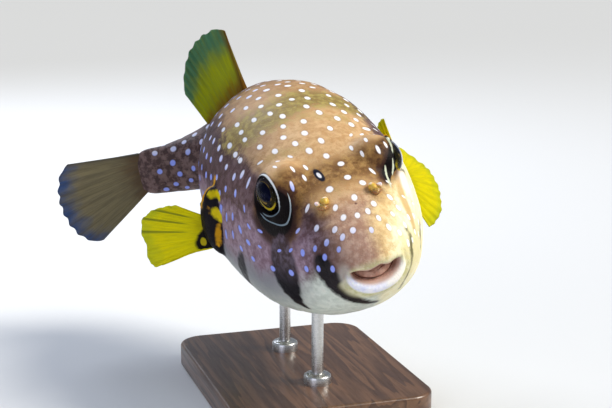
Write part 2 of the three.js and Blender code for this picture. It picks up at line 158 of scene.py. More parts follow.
def swell_orbits(points):
    """The skin swells into a dome round each eye: points inside the dome move out to it."""
    for side in sides.values():
        centre, out, _, _ = eye_frame(side)
        centre = centre - ORBIT["behind"] * out
        offset = points - centre
        reach = np.linalg.norm(offset, axis=-1, keepdims=True)
        points = centre + offset * swollen_reach(reach, ORBIT["radius"], ORBIT["blend"]) / reach
    return points


# The mesh is a net of rings and turns. Rings lie closest on the lips, and both gather round the eyes. The
# spacing of the rings is given at some of the sections, counted from the mouth's back.
TURNS = 316
RINGS = 284
RING_SPACING = {0: 0.5, 3: 0.42, 5: 0.5, 7: 0.8, 9: 0.9, 11: 1.0, 15: 1.15, 18: 1.15}
# The eyes' place in the net, how strongly and how far they draw it in, and the rough length of a section's
# step and of the body's radius there, in millimetres.
GATHER = {"section": 9.5, "turn": math.radians(54), "pull": 0.62, "spread": 21, "step": 22, "radius": 42}

fine_t = np.linspace(0, LAST_SECTION, 3601)
meridians = [body_point(fine_t, np.full_like(fine_t, math.radians(a))) for a in (0, 90, 180, 270)]
steps = np.mean([np.linalg.norm(np.diff(line, axis=0), axis=1) for line in meridians], axis=0)
spacing = np.interp(fine_t[1:], list(RING_SPACING), list(RING_SPACING.values()))
ring_count = np.concatenate([[0], np.cumsum(steps / spacing)])
ring_t = np.interp(np.linspace(0, ring_count[-1], RINGS), ring_count, fine_t)
grid_t, grid_turn = np.meshgrid(ring_t, np.arange(TURNS) * 2 * math.pi / TURNS, indexing="ij")


def gathered(t, turn):
    """Draws a place in the net closer to the nearer eye."""
    eye_turn = np.where(np.cos(turn) < 0, math.pi - GATHER["turn"], GATHER["turn"])
    along = (t - GATHER["section"]) * GATHER["step"]
    around = np.arctan2(np.sin(turn - eye_turn), np.cos(turn - eye_turn)) * GATHER["radius"]
    nearness = np.exp(-(along**2 + around**2) / GATHER["spread"] ** 2)
    pull = GATHER["pull"] * nearness * smoothstep(0, 0.4, np.abs(np.cos(turn)))
    return t - pull * along / GATHER["step"], turn - pull * around / GATHER["radius"]


skin_t, skin_turn = gathered(grid_t, grid_turn)
skin = body_point(skin_t, skin_turn)
rise = np.sin(skin_turn)

# The upper lip hangs in two soft lobes with a notch between, and both lips are a little uneven.
lip_x = skin[..., 0]
near_edge = hump(skin_t - LIP_EDGE, 0.9) * smoothstep(0, 0.5, rise)
lobes = -0.9 * hump(lip_x + 4.4, 2.8) - 0.8 * hump(lip_x - 5.6, 2.4) + 0.5 * hump(lip_x - 1.2, 1.5)
skin[..., 2] += lobes * near_edge

# Inside the lips lies a smooth pad of gum above a groove, which the paint darkens as shade. Rows run from
# the pad's middle to the lip's edge: distance from the middle, and depth behind the lip in the lower and in
# the upper half.
MOUTH_ROWS = [
    (0.0, 2.5, 2.7), (0.15, 2.3, 2.8), (0.3, 2.1, 3.1), (0.45, 2.0, 3.6), (0.6, 2.0, 4.2), (0.72, 2.3, 4.8),
    (0.8, 3.2, 5.2), (0.86, 3.8, 4.9), (0.92, 2.9, 3.7), (0.97, 1.4, 1.8), (1.0, 0.0, 0.0),
]
MOUTH_MIDDLE = np.array([0.0, 1.6, -4.2])
inside = skin_t < LIP_EDGE
mouth_s = np.clip(skin_t / LIP_EDGE, 0.03, 1)
edge = body_point(np.full_like(skin_t, LIP_EDGE), skin_turn)
edge[..., 2] += lobes * smoothstep(0, 0.5, rise)
reach, low_depth, high_depth = np.moveaxis(through_rows(MOUTH_ROWS, mouth_s * (len(MOUTH_ROWS) - 1)), -1, 0)
upper = smoothstep(-0.25, 0.55, rise)
mouth = MOUTH_MIDDLE + (edge - MOUTH_MIDDLE) * reach[..., None]
mouth[..., 1] = mouth[..., 1] + low_depth + (high_depth - low_depth) * upper
skin = np.where(inside[..., None], mouth, skin)
mouth_s = np.where(inside, mouth_s, 1.0)

skin = swell_orbits(skin)


def net_normals(points):
    """Outward unit normals of a net whose turns close on themselves."""
    along = np.gradient(points, axis=0)
    around = np.roll(points, -1, axis=1) - np.roll(points, 1, axis=1)
    normal = np.cross(along, around)
    return normal / np.maximum(np.linalg.norm(normal, axis=-1, keepdims=True), 1e-9)


def ripples(points, wavelength, seed, waves=9):
    """A soft random relief between about -1 and 1: a sum of waves in random directions."""
    rng = np.random.default_rng(seed)
    total = 0
    for _ in range(waves):
        direction = rng.normal(size=3)
        direction *= 2 * math.pi / (wavelength * rng.uniform(0.7, 1.4) * np.linalg.norm(direction))
        total = total + np.sin(points @ direction + rng.uniform(0, 2 * math.pi))
    return total / math.sqrt(waves)


# A pad of muscle at the root of each pectoral fin stands proud of the flank, most on the fish's right, where
# the fin is held straight out.
PECTORAL_PAD = {"across": 47, "back": 102, "up": 1, "blend": 0.3}
PAD_HALF_SIZE = {-1: np.array([9.3, 9, 18.8]), 1: np.array([4.6, 7, 18])}
for side in sides.values():
    pad_centre = np.array([side * PECTORAL_PAD["across"], PECTORAL_PAD["back"], PECTORAL_PAD["up"]])
    offset = (skin - pad_centre) / PAD_HALF_SIZE[side]
    reach = np.linalg.norm(offset, axis=-1, keepdims=True)
    swollen = swollen_reach(reach, 1, PECTORAL_PAD["blend"])
    skin = pad_centre + offset * swollen / reach * PAD_HALF_SIZE[side]

# Relief along the normal. First come soft unevenness and a mound under each nostril flap.
normals = net_normals(skin)
x, y, z = np.moveaxis(skin, -1, 0)
outside = smoothstep(LIP_EDGE + 0.5, SNOUT_TIP, skin_t)
NOSTRIL = {"across": 12.8, "back": 24, "up": 25.2}
# Beyond this distance from the middle lies the flank.
FLANK = 30
relief = 0.28 * ripples(skin, 34, 5) * outside
relief += 0.05 * ripples(skin, 5, 6) * outside
relief += 0.9 * hump(np.hypot(np.abs(x) - NOSTRIL["across"], y - NOSTRIL["back"]), 3.4) * (z > 0)

# A gill slit curves down just in front of each pectoral fin, with a soft lip before it.
gill_back = 91.2 - (z / 26) ** 2 * 2.5
gill = smoothstep(-17, -9, z) * smoothstep(16, 9, z) * (np.abs(x) > FLANK)
relief += gill * (0.5 * hump(y - gill_back + 2.2, 1.6) - 1.9 * hump(y - gill_back, 1.15))

# Fine folds run along the belly.
under = smoothstep(-6, -30, z) * smoothstep(30, 60, y) * smoothstep(205, 170, y)
relief += 0.16 * under * np.sin(x * 1.15 + 1.2 * np.sin(y * 0.06)) * ripples(skin, 30, 8)

# A fold lies under the lower lip and another over the upper one, fine creases cross both lips, and a dimple
# marks each corner of the mouth.
relief -= 0.55 * hump(skin_t - 5.15, 0.3) * smoothstep(0.1, -0.5, rise)
relief -= 0.3 * hump(skin_t - 4.9, 0.35) * smoothstep(0, 0.6, rise)
relief += 0.02 * np.sin(skin_turn * 46 + 2 * np.sin(skin_turn * 7)) * hump(skin_t - 4.1, 0.9)
corner = (np.hypot(np.abs(x) - 14.2, z + 1.2) < 6) * hump(np.abs(x) - 14.4, 0.8) * hump(z + 1.6, 2.6)
relief -= 0.7 * corner * (skin_t > 3.5) * (skin_t < 6.5)
skin = skin + normals * relief[..., None]

# The skin ends in a soft rim round each eye and dives under the eyeball there. A table for an eye gives
# distances from its axis every 30 degrees round it: from straight behind, down, ahead and over the top. The
# fish's right eye is -1 and its left eye is 1.
RIM = {
    -1: [8.9, 8.8, 8.8, 9.0, 9.4, 9.7, 9.0, 8.4, 8.1, 8.3, 8.6, 8.8],
    1: [8.9, 8.8, 8.6, 8.3, 9.2, 10.5, 10.0, 8.6, 7.9, 7.6, 7.9, 8.6],
}
# Round the eye the skin keeps at least this far over the ball, until it dives.
SKIN_OVER_EYE = 0.45
# A point that belongs to neither eye counts as this far from both.
FAR = 99.0


def round_eye(values, angle):
    """A smooth closed curve through values at even angles round the eye."""
    t = (angle + 180) / 360 * len(values)
    return through_rows([*values[-2:], *values, *values[:3]], t + 2)[..., 0]


eye_angle = np.zeros(skin_t.shape)
eye_walk = np.full(skin_t.shape, FAR)
for side in sides.values():
    centre, out, _, _ = eye_frame(side)
    offset = skin - centre
    reach = np.linalg.norm(offset, axis=-1, keepdims=True)
    skin = centre + offset * np.maximum(reach, EYE["radius"] + SKIN_OVER_EYE) / reach
    along, from_axis, angle = eye_polar(skin, side)
    same_side = np.sign(skin[..., 0]) == side
    near = (along > 0) & same_side & (from_axis < 16)
    round_it = (along > -18) & same_side
    eye_angle = np.where(round_it, angle, eye_angle)
    rim = round_eye(RIM[side], angle)
    eyeball = np.sqrt(np.maximum(EYE["radius"] ** 2 - from_axis**2, 0))
    rim_level = np.sqrt(EYE["radius"] ** 2 - rim**2) + 0.5
    # The rim sits half a millimetre proud of the eyeball, and swells softly just outside.
    hug = smoothstep(rim + 2.2, rim + 0.2, from_axis)
    along_new = along + hug * np.minimum(rim_level - along, 0) + 0.25 * hump(from_axis - rim - 0.8, 0.7)
    sunk = smoothstep(rim + 0.25, rim - 0.95, from_axis)
    along_new = along_new + sunk * (np.minimum(eyeball, 7.5) - 3.4 - along_new)
    shift = np.where(near, along_new - along, 0)
    skin = skin + shift[..., None] * out
    # The way out from the eye counts its drop down the side of the brow as well.
    drop = np.maximum(6.5 - along - shift, 0) * smoothstep(rim + 0.2, rim + 1.5, from_axis)
    eye_walk = np.where(round_it, from_axis + 0.9 * drop, eye_walk)

straight_skin = skin.reshape(-1, 3)

# The tail curls to the fish's right and droops, and the whole fish is tipped and banked.
CURL = {"start": 141, "end": 235, "angle": math.radians(85)}
CURL_STEPS = 48
DROOP = {"start": 160, "end": 240, "depth": 8}
PITCH, BANK = math.radians(7), math.radians(-14)
FISH_PLACE = np.array([4, -102, 90])
pose = np.array(Matrix.Rotation(PITCH, 3, "X") @ Matrix.Rotation(BANK, 3, "Y"))


def curl_angle(y):
    """The turn of the backbone at each y of the straight fish."""
    return CURL["angle"] * smoothstep(CURL["start"], CURL["end"], y)


def in_place(points):
    """Points of the straight fish, in millimetres, curled, tipped and set over the stand, in metres."""
    x, y, z = np.moveaxis(np.asarray(points, float), -1, 0)
    z = z - DROOP["depth"] * smoothstep(DROOP["start"], DROOP["end"], y)
    along = np.maximum(y - CURL["start"], 0)
    across, back = np.zeros_like(y), np.minimum(y, CURL["start"])
    for i in range(CURL_STEPS):
        angle = curl_angle(CURL["start"] + along * (i + 0.5) / CURL_STEPS)
        across = across - np.sin(angle) * along / CURL_STEPS
        back = back + np.cos(angle) * along / CURL_STEPS
    angle = curl_angle(y)
    bent = np.stack([across + x * np.cos(angle), back + x * np.sin(angle), z], -1)
    return (bent @ pose.T + FISH_PLACE) * MM


def make_piece(name, points, faces, attributes=None):
    """A smooth mesh object at the origin, with its own values stored at each point."""
    mesh = bpy.data.meshes.new(name)
    mesh.from_pydata(np.asarray(points).tolist(), [], faces)
    for key, values in (attributes or {}).items():
        values = np.asarray(values, np.float32)
        kind, field = ("FLOAT", "value") if values.ndim == 1 else ("FLOAT_VECTOR", "vector")
        layer = mesh.attributes.new(key, kind, "POINT")
        layer.data.foreach_set(field, values.ravel())
    mesh.validate()
    mesh.shade_smooth()
    piece = bpy.data.objects.new(name, mesh)
    bpy.context.scene.collection.objects.link(piece)
    return piece


def net_faces(rings, turns, closed=True):
    """Quads between rings of points; the last turn joins the first on a closed net."""
    faces = []
    for i in range(rings - 1):
        for j in range(turns if closed else turns - 1):
            k = (j + 1) % turns
            faces.append((i * turns + j, (i + 1) * turns + j, (i + 1) * turns + k, i * turns + k))
    return faces


def cap_faces(faces, ring_start, turns, tip, forwards):
    """Adds triangles from a ring to a single point."""
    for j in range(turns):
        k = (j + 1) % turns
        a, b = ring_start + j, ring_start + k
        faces.append((b, a, tip) if forwards else (a, b, tip))


skin_faces = net_faces(RINGS, TURNS)
mouth_tip, tail_tip = RINGS * TURNS, RINGS * TURNS + 1
cap_faces(skin_faces, 0, TURNS, mouth_tip, forwards=False)
cap_faces(skin_faces, (RINGS - 1) * TURNS, TURNS, tail_tip, forwards=True)
first_ring, last_ring = straight_skin[:TURNS], straight_skin[-TURNS:]
tips = np.array([first_ring.mean(axis=0), last_ring.mean(axis=0) + [0, 0.5, 0]])
skin_points = np.vstack([straight_skin, tips])


# ---- The skin's markings ----
# White spots on brown, tight rings round the eyes, dark stripes on a pale belly: all painted by airbrush and
# fine brush. Each marking is a value at every point of the skin, in millimetres from the marking's edge or
# as a share of it, and the paint below is mixed from them. Both tips of the skin are counted in.
x, y, z = skin_points.T
all_t = np.append(skin_t.ravel(), [0, LAST_SECTION])
all_s = np.append(mouth_s.ravel(), [0, 1])
all_rise = np.sin(np.append(skin_turn.ravel(), [0, 0]))
eye_angle = np.append(eye_angle.ravel(), [0, 0])
eye_walk = np.append(eye_walk.ravel(), [FAR, FAR])
skin_normals = np.vstack([net_normals(skin).reshape(-1, 3), [[0, -1, 0], [0, 1, 0]]])
on_right = x < 0

# Two thin white rings round the right eye, of which the outer one is open above and drawn out low in front.
# Only the top of the inner one is round on the left: the rest runs straight, as the lines further down.
INNER_RING = {
    -1: [9.8, 9.7, 9.7, 9.9, 10.3, 10.6, 9.9, 9.3, 9.0, 9.2, 9.5, 9.7],
    1: [9.8, 9.7, 9.7, 9.7, 9.4, 8.7, 8.9, 9.2, 8.8, 8.6, 8.8, 9.5],
}
OUTER_RING = [9.9, 10.0, 10.2, 10.9, 13.5, 18.4, 16.2, 14.0, 13.5, 13, 12, 10.5]


def each_side(tables):
    """A closed curve round each eye, from the table of its own side."""
    return np.where(on_right, round_eye(tables[-1], eye_angle), round_eye(tables[1], eye_angle))


# Below the left eye the markings stop at a line, where the pale cheek begins.
eye_turn = np.radians(eye_angle)
above_cheek = eye_walk * (np.sin(eye_turn) + 0.53 * np.cos(eye_turn)) + 0.4
above_cheek = np.where(on_right | (np.cos(eye_turn) < 0), 9, above_cheek)
inner_gap = eye_walk - each_side(INNER_RING)
inner_share = smoothstep(np.where(on_right, -112, 52), np.where(on_right, -80, 68), eye_angle)
inner_share = inner_share * smoothstep(165, 115, eye_angle)
inner_width = 0.2 + 0.17 * hump(np.abs(eye_angle + 35), 24) + 0.07 * hump(np.abs(eye_angle - 75), 30)
inner_width = inner_share * inner_width
outer_gap = eye_walk - round_eye(OUTER_RING, eye_angle)
outer_share = smoothstep(-118, -80, eye_angle) * smoothstep(20, 0, eye_angle) * on_right
outer_width = outer_share * (0.22 + 0.2 * hump(np.abs(eye_angle + 25), 32))

# Stripes: the middle line of each, with its half width there. The ones in front are broad on the fish's
# right and thin on its left, and the paired ones lie alike on both sides.
STRIPES = {
    -1: [
        [(-32.8, 34, 9, 3.5), (-33.7, 34.5, 5, 6.5), (-34.2, 34.2, 0, 8.8),
         (-34.3, 34.2, -6.5, 8.7), (-33.6, 34.5, -12.8, 7.0), (-32.6, 35.5, -18.4, 4.7),
         (-30.5, 36, -23.8, 2.8), (-27.2, 35.5, -26.7, 1)],
        [(-21.8, 13.6, 6.3, 1.5), (-21.6, 12.4, 4, 3.6), (-21.4, 11.2, 1.1, 4.8), (-19.8, 9.0, -4.1, 5),
         (-16.8, 7.7, -9.6, 4.6), (-12.4, 8.2, -14.8, 3.4), (-6.5, 11.2, -20.4, 2.2),
         (0.3, 15.8, -24.8, 0.9)],
    ],
    1: [
        [(19.7, 11.9, 8.1, 0.4), (20.5, 10.9, 4.1, 1.1), (19.3, 8.4, 0.5, 1.4), (18.4, 7.4, -4.9, 1.0),
         (16, 7.9, -11.4, 0.7), (13.6, 10.4, -16.7, 0.6), (12.7, 15.6, -22.2, 0.4)],
        [(34.7, 35.5, -2.4, 0.4), (31.6, 28, -4.8, 1.0), (28.3, 21.6, -8, 0.4)],
    ],
}
PAIRED_STRIPES = [
    [(46, 69, -6, 0.8), (46.1, 71.5, -11, 3.2), (45.6, 74.5, -16, 3.8), (44, 78, -23, 2.8),
     (41, 80, -30, 0.8)],
    [(47, 112, -12, 0.8), (44, 116, -20, 2.2), (37, 121, -30, 2.2), (27, 125, -37, 1)],
    [(45, 132, -6, 0.8), (42, 137, -14, 2.2), (35, 143, -24, 2.2), (24, 147, -32, 1)],
    [(38, 152, -2, 0.8), (35, 157, -9, 2), (29, 163, -17, 2), (19, 168, -23, 1)],
]


def inside_line(points, line):
    """How far inside a painted line the points lie; each place on the line ends with its half width."""
    line = through_rows(line, np.linspace(0, len(line) - 1, 16 * len(line)))
    deepest = np.full(len(points), -FAR)
    for *middle, half_width in line:
        away = np.linalg.norm(points - middle, axis=1)
        deepest = np.maximum(deepest, half_width + away.min() - away)
    return deepest


# In front of the left eye the rings run straight, as three short lines, each one lower and further forwards.
# Each place on them is given ahead of the eye's axis and above it, measured over the skin.
LEFT_LINES = [
    [(2.8, 8.8, 0.12), (4.6, 8.0, 0.16), (6.9, 6.1, 0.17), (9.5, 3.2, 0.17), (10.5, 1.7, 0.08)],
    [(12.6, 0.3, 0.12), (13.2, -2.2, 0.4), (13.7, -4.7, 0.45), (14.7, -7.2, 0.35), (16.1, -9.7, 0.1)],
    [(18.7, -1.6, 0.1), (19.4, -5, 0.36), (20.6, -8.3, 0.45), (22.2, -11, 0.45), (24, -13.3, 0.4),
     (26.1, -15.7, 0.15)],
]
ahead_and_up = np.stack([eye_walk * np.cos(eye_turn), eye_walk * np.sin(eye_turn)], -1)
left_line = np.max([inside_line(ahead_and_up, line) for line in LEFT_LINES], axis=0) - 9 * on_right
rings = np.stack([inner_gap / (inner_width + 0.05), outer_gap / (outer_width + 0.05),
                  np.clip(1.2 - left_line / 0.4, 0, 9)], -1)
ring_share = np.stack([inner_share, outer_share, 1.0 - on_right], -1)

stripe_edge = np.full(len(x), -9.0)
for side in sides.values():
    paired = [[(side * a, *rest) for a, *rest in line] for line in PAIRED_STRIPES]
    for line in STRIPES[side] + paired:
        stripe_edge = np.maximum(stripe_edge, inside_line(skin_points, line))

# A golden streak runs down the fish's pale left cheek.
CHEEK_STREAK = [(28, 37, 21, 0.5), (25.5, 29, 17, 1.8), (25.5, 22.8, 11.5, 2.4), (24.9, 18, 4, 1.4)]

# Short dashes circle each eye in two rows. Each has its angle from ahead, its way out from the eye's axis,
# and half its length. The left eye has one more, and the other spots keep clear of them all.
DASHES = [
    (28, 18.5, 2.4), (64, 22, 2), (90, 15.6, 1.7), (121, 23.5, 1.8), (179, 19.8, 3), (-146, 20.5, 2),
    (-121, 21.5, 1.9), (-96, 17.5, 1.9), (35, 25.5, 1.9), (62, 28, 2), (109, 29, 1.7), (153, 26.5, 1.8),
    (-4, 28, 2.2), (-27, 26.8, 1.7), (-46, 28.8, 1.6), (-64, 26.8, 1.6), (-97, 26.4, 1.5),
]
LEFT_DASHES = [(38, 12.4, 2.0)]
dashes = []
for side in sides.values():
    _, _, ahead, up = eye_frame(side)
    for angle, way_out, half_length in DASHES + (LEFT_DASHES if side > 0 else []):
        turned_by = (eye_angle - angle + 180) % 360 - 180
        apart = np.hypot(turned_by / 3, eye_walk - way_out) + 1e3 * (np.sign(x) != side)
        direction = up * math.cos(math.radians(angle)) - ahead * math.sin(math.radians(angle))
        dashes.append((int(np.argmin(apart)), direction, half_length))

# The spots stand at even distances all over the upper skin: each new one goes where the skin is barest.
SPOTS = {"seed": 11, "candidates": 16000, "apart": 7.3, "from_eye": 25, "from_nostril": 5.6}
RINGED_SPOT = np.array([-7.7, 39.6, 33.3])
SNOUT_DOT = np.array([1.1, 19.3, 23.4])
pale_from = -3 + 5 * hump(y - 10, 20) - 9 * smoothstep(110, 150, y)
spotted_from = pale_from - 4 * hump(y - 38, 22)
spot_zone = (z > spotted_from) & (y > 7) & (y < 238) & (all_t > SNOUT_TIP)
rng = np.random.default_rng(SPOTS["seed"])
candidates = rng.choice(np.flatnonzero(spot_zone), SPOTS["candidates"], replace=False)
from_nostril = np.hypot(np.abs(x) - NOSTRIL["across"], y - NOSTRIL["back"])
on_pad = np.hypot((y - PECTORAL_PAD["back"]) / 10, (z - PECTORAL_PAD["up"]) / 20.5) < 1
free = (eye_walk > SPOTS["from_eye"]) & (from_nostril > SPOTS["from_nostril"])
free = free & ~(on_pad & (np.abs(x) > FLANK))
candidates = candidates[free[candidates]]
places = skin_points[candidates]
gap = np.linalg.norm(places - RINGED_SPOT, axis=1) - 1
for spot, _, half_length in dashes:
    gap = np.minimum(gap, np.linalg.norm(places - skin_points[spot], axis=1) - 0.3)
spots = []
while True:
    wanted = SPOTS["apart"] - 0.4 * smoothstep(100, 150, places[:, 1]) + 0.5 * hump(places[:, 1] - 60, 30)
    wanted -= 2.2 * smoothstep(27, 13, places[:, 1])
    best = np.argmax(gap / wanted * (1 + 0.03 * rng.normal(size=len(gap))))
    if gap[best] < wanted[best] * 0.98:
        break
    spots.append(candidates[best])
    gap = np.minimum(gap, np.linalg.norm(places - places[best], axis=1))

spot_place = np.full((len(x), 3), 9.0)


def lay_spot(centre, direction, normal, long_radius, short_radius):
    """Gives the skin near a spot its place within the spot: 0 in the middle, 1 on the edge."""
    direction = direction - direction @ normal * normal
    direction = direction / np.linalg.norm(direction)
    sideways = np.cross(normal, direction)
    near = np.flatnonzero(np.sum((skin_points - centre) ** 2, axis=1) < (long_radius * 2.6) ** 2)
    offset = skin_points[near] - centre
    u, v = offset @ direction / long_radius, offset @ sideways / short_radius
    away = np.hypot(u, v)
    closer = away < spot_place[near, 2]
    spot_place[near[closer]] = np.stack([u, v, away], -1)[closer]


for spot in spots:
    centre, normal = skin_points[spot], skin_normals[spot]
    side = -1 if centre[0] < 0 else 1
    eye_centre, out, _, _ = eye_frame(side)
    tangent = np.cross(out, centre - eye_centre)
    # Spots are drawn out round the eyes, along the back and beside the fins, and small on the snout.
    stretch = 1 + 0.6 * math.exp(-((max(eye_walk[spot] - 24, 0) / 12) ** 2)) * (eye_walk[spot] < 90)
    size = rng.uniform(1.42, 1.75) + 0.1 * smoothstep(75, 130, centre[1])
    size = size - 0.35 * smoothstep(26, 14, centre[1])
    by_pad = abs(centre[0]) > 34 and abs(centre[1] - 84) < 9 and abs(centre[2]) < 20
    if normal[2] > 0.6 and 44 < centre[1] < 118 and eye_walk[spot] > 32:
        tangent, stretch = np.array([0, 1, 0]), rng.uniform(1.3, 1.6)
    if centre[1] < 24 or by_pad:
        tangent, stretch = np.array([0.2, 0, 1]), rng.uniform(1.2, 1.5) + 0.5 * by_pad
    lay_spot(centre, tangent, normal, size * stretch**0.75, size / stretch**0.35)

for spot, direction, half_length in dashes:
    lay_spot(skin_points[spot], direction, skin_normals[spot], half_length, 0.5 + 0.15 * half_length)

# One long white spot on the brow has a black ring round it. It lies aslant, pointing forwards and down.
offset = skin_points - RINGED_SPOT
slant = np.array([0.12, -1.0, -0.35])
nearest = int(np.argmin(np.sum(offset**2, axis=1)))
slant = slant - slant @ skin_normals[nearest] * skin_normals[nearest]
slant /= np.linalg.norm(slant)
cross = np.cross(skin_normals[nearest], slant)
ringed = np.stack([offset @ slant / 5.0, offset @ cross / 1.9, np.linalg.norm(offset, axis=1)], -1)

# Broad zones of colour. Black surrounds the eyes, widest low in front, and fades into brown. How far each
# reaches is a table round the eye, like its rim's. Below the right eye the black and the dark round it reach
# further down, partly the fish's own black and partly painted shadow under the eye.
BLACK_REACH = {
    -1: [10.8, 10.4, 10.8, 14.6, 19.6, 20.8, 15.5, 9.3, 8.8, 9, 9.8, 10.6],
    1: [8.6, 7.6, 7.2, 7.2, 8.2, 26.0, 16.8, 10.2, 9, 9, 9.5, 9.6],
}
BROWN_REACH = {
    -1: [11.5, 11.5, 15, 21, 26, 28, 25, 19, 9, 8, 9, 11],
    1: [9, 7.9, 7.5, 7.6, 9, 29, 27, 22, 14, 9, 9, 9.8],
}
black_reach, brown_reach = each_side(BLACK_REACH), each_side(BROWN_REACH)
leftward = x - 0.45 * np.maximum(y - 8, 0)
upward = skin_normals[:, 2]
# Partly painted shadow: below the right eye the dark near the eye reaches further down.
near_black = black_reach + 7.5 + 4 * hump(eye_angle + 78, 36) * on_right


def patch_at(centre, size):
    """1 at a place on the skin, fading out over an ellipsoid of the given half size."""
    return hump(np.linalg.norm((skin_points - centre) / size, axis=1), 1)


zones = {
    "belly": smoothstep(5, -17, z - pale_from - 2.5 * ripples(skin_points, 26, 3)),
    # Painted shade: the belly greys low on the fish's right flank.
    "belly_shade": smoothstep(-20, -40, x) * smoothstep(-40, -12, z),
    # Partly painted shade: a bluish mauve low on the fish's right flank, over its own mauve.
    "low_flank_mauve_shade": (smoothstep(24, 9, z) * smoothstep(6, -16, x) * smoothstep(165, 125, y)
                  * smoothstep(8, 26, y)),
    "back": (smoothstep(0.6, 0.96, upward) * (z > 5) * (0.35 + 0.65 * smoothstep(165, 105, y))
             * smoothstep(205, 165, y)),
    # Painted light and shade: spots are painted clean white where the skin faces up or lies on the fish's
    # left, and bluish elsewhere.
    "lit": (np.maximum(smoothstep(0.3, 0.8, upward) * smoothstep(2, 22, z), smoothstep(-6, 10, x))
            * (1 - 0.55 * smoothstep(100, 150, y) * smoothstep(10, -15, x))),
    # Painted shade: the tan darkens at the rear of the crown and on the fish's right.
    "crown_shade": (z > 5) * np.maximum(smoothstep(88, 128, y),
                                        smoothstep(-6, -26, x) * smoothstep(60, 80, y)),
    "saddle": hump(np.abs(y - 98 - 3 * np.sin(x * 0.12)), 17) * smoothstep(24, 42, z),
    # Partly painted light: the fish's left cheek, which faces the key sun, is painted golden and cream over
    # its own pale colour.
    "gold_lit_left": smoothstep(-7, 11, leftward) * smoothstep(31, 18, z) * smoothstep(90, 55, y),
    "cream_lit_left": (smoothstep(5, 19, leftward + 0.35 * (14 - z)) * smoothstep(30, 18, z)
                   * smoothstep(110, 60, y)),
    "low_cheek": (smoothstep(10, -4, z) * smoothstep(2, 14, x) * smoothstep(44, 24, y)
                  * smoothstep(-20, -8, z)),
    # Painted highlight: a white-pink patch on the cheek below the left eye.
    "pink_highlight_left": patch_at([31, 38.5, 18], [6, 9, 9]) * (x > 0),
    "streak": smoothstep(-1.6, 1.2, inside_line(skin_points, CHEEK_STREAK)),
    "eye_dark": (smoothstep(black_reach + 2.2, black_reach - 1.2, eye_walk)
                 * smoothstep(-0.7, 0.6, above_cheek)),
    "brow": smoothstep(brown_reach + 6, brown_reach - 6, eye_walk) * smoothstep(-1.5, 3, above_cheek),
    "band": (hump(y - 38.5, 9.5) * smoothstep(-34, -22, x) * smoothstep(34, 27, x)
             * smoothstep(19, 25, z)),
    "stalk": smoothstep(186, 222, y),
    "snout": smoothstep(34, 12, y) * smoothstep(-18, 2, z) * smoothstep(-25, -6, x),
    "lip": all_t,
    "mouth": all_s,
    "low": smoothstep(0.1, -0.4, all_rise),
    "lip_corner": patch_at([-14.5, 3.6, -1.6], [3.4, 3.4, 6]),
    "nostril": hump(np.hypot(np.abs(x) - NOSTRIL["across"], y - NOSTRIL["back"] + 0.5), 4.6) * (z > 0),
    "stripe": stripe_edge,
    "stripe_soft": smoothstep(-15, 6, z) * smoothstep(20, 28, y),
    "stripe_thin": smoothstep(4, 12, x) * smoothstep(36, 28, y),
    "near_eye": (smoothstep(near_black, black_reach + 0.5, eye_walk) * smoothstep(-0.7, 2, above_cheek)
                 * smoothstep(48, 12, eye_angle) * smoothstep(-135, -112, eye_angle)),
    # Painted shade: the rings are painted light on top and darker below.
    "ring_lit_top": smoothstep(-0.9, 0.8, np.sin(eye_turn)),
    "snout_dot": np.minimum(np.linalg.norm(skin_points - SNOUT_DOT, axis=1), 5),
}

# Each pad of a pectoral fin is black with an orange strip down from its top, two yellow strips at its front
# and smaller orange bars. Places on the pad run from -1 in front to 1 behind, and from -1 below to 1 above.
PAD_ORANGE = [
    [(0.34, 1.08, 0.06), (0.12, 0.98, 0.1), (0.1, 0.82, 0.13), (0.02, 0.64, 0.13), (-0.1, 0.46, 0.08)],
    [(-0.55, 0.52, 0.03), (-0.63, 0.43, 0.04)],
    [(-0.87, 0.08, 0.025), (-0.84, -0.14, 0.045), (-0.72, -0.4, 0.045), (-0.58, -0.56, 0.02)],
]
PAD_YELLOW = [
    [(-0.2, 0.86, 0.03), (-0.45, 0.83, 0.06), (-0.72, 0.8, 0.07), (-0.92, 0.72, 0.05)],
    [(-0.66, 0.5, 0.03), (-0.76, 0.42, 0.07), (-0.9, 0.3, 0.08), (-0.95, 0.17, 0.05)],
]
PAD_PAINT = {"half_length": 9.8, "half_height": 19.5}
pad_u = (y - PECTORAL_PAD["back"]) / PAD_PAINT["half_length"]
pad_v = (z - PECTORAL_PAD["up"]) / PAD_PAINT["half_height"]
off_pad = np.hypot(pad_u, pad_v) + 9 * (np.abs(x) < FLANK)
flat_pad = np.stack([pad_u, pad_v], -1)
zones["pad"] = off_pad
for key, bars in (("pad_orange", PAD_ORANGE), ("pad_yellow", PAD_YELLOW)):
    zones[key] = np.max([inside_line(flat_pad, line) for line in bars], axis=0) - 9 * (off_pad > 1.3)

skin_piece = make_piece("skin", in_place(skin_points), skin_faces, {
    "straight": skin_points, "spot": spot_place, "ringed": ringed, "rings": rings,
    "ring_share": ring_share, **zones,
})
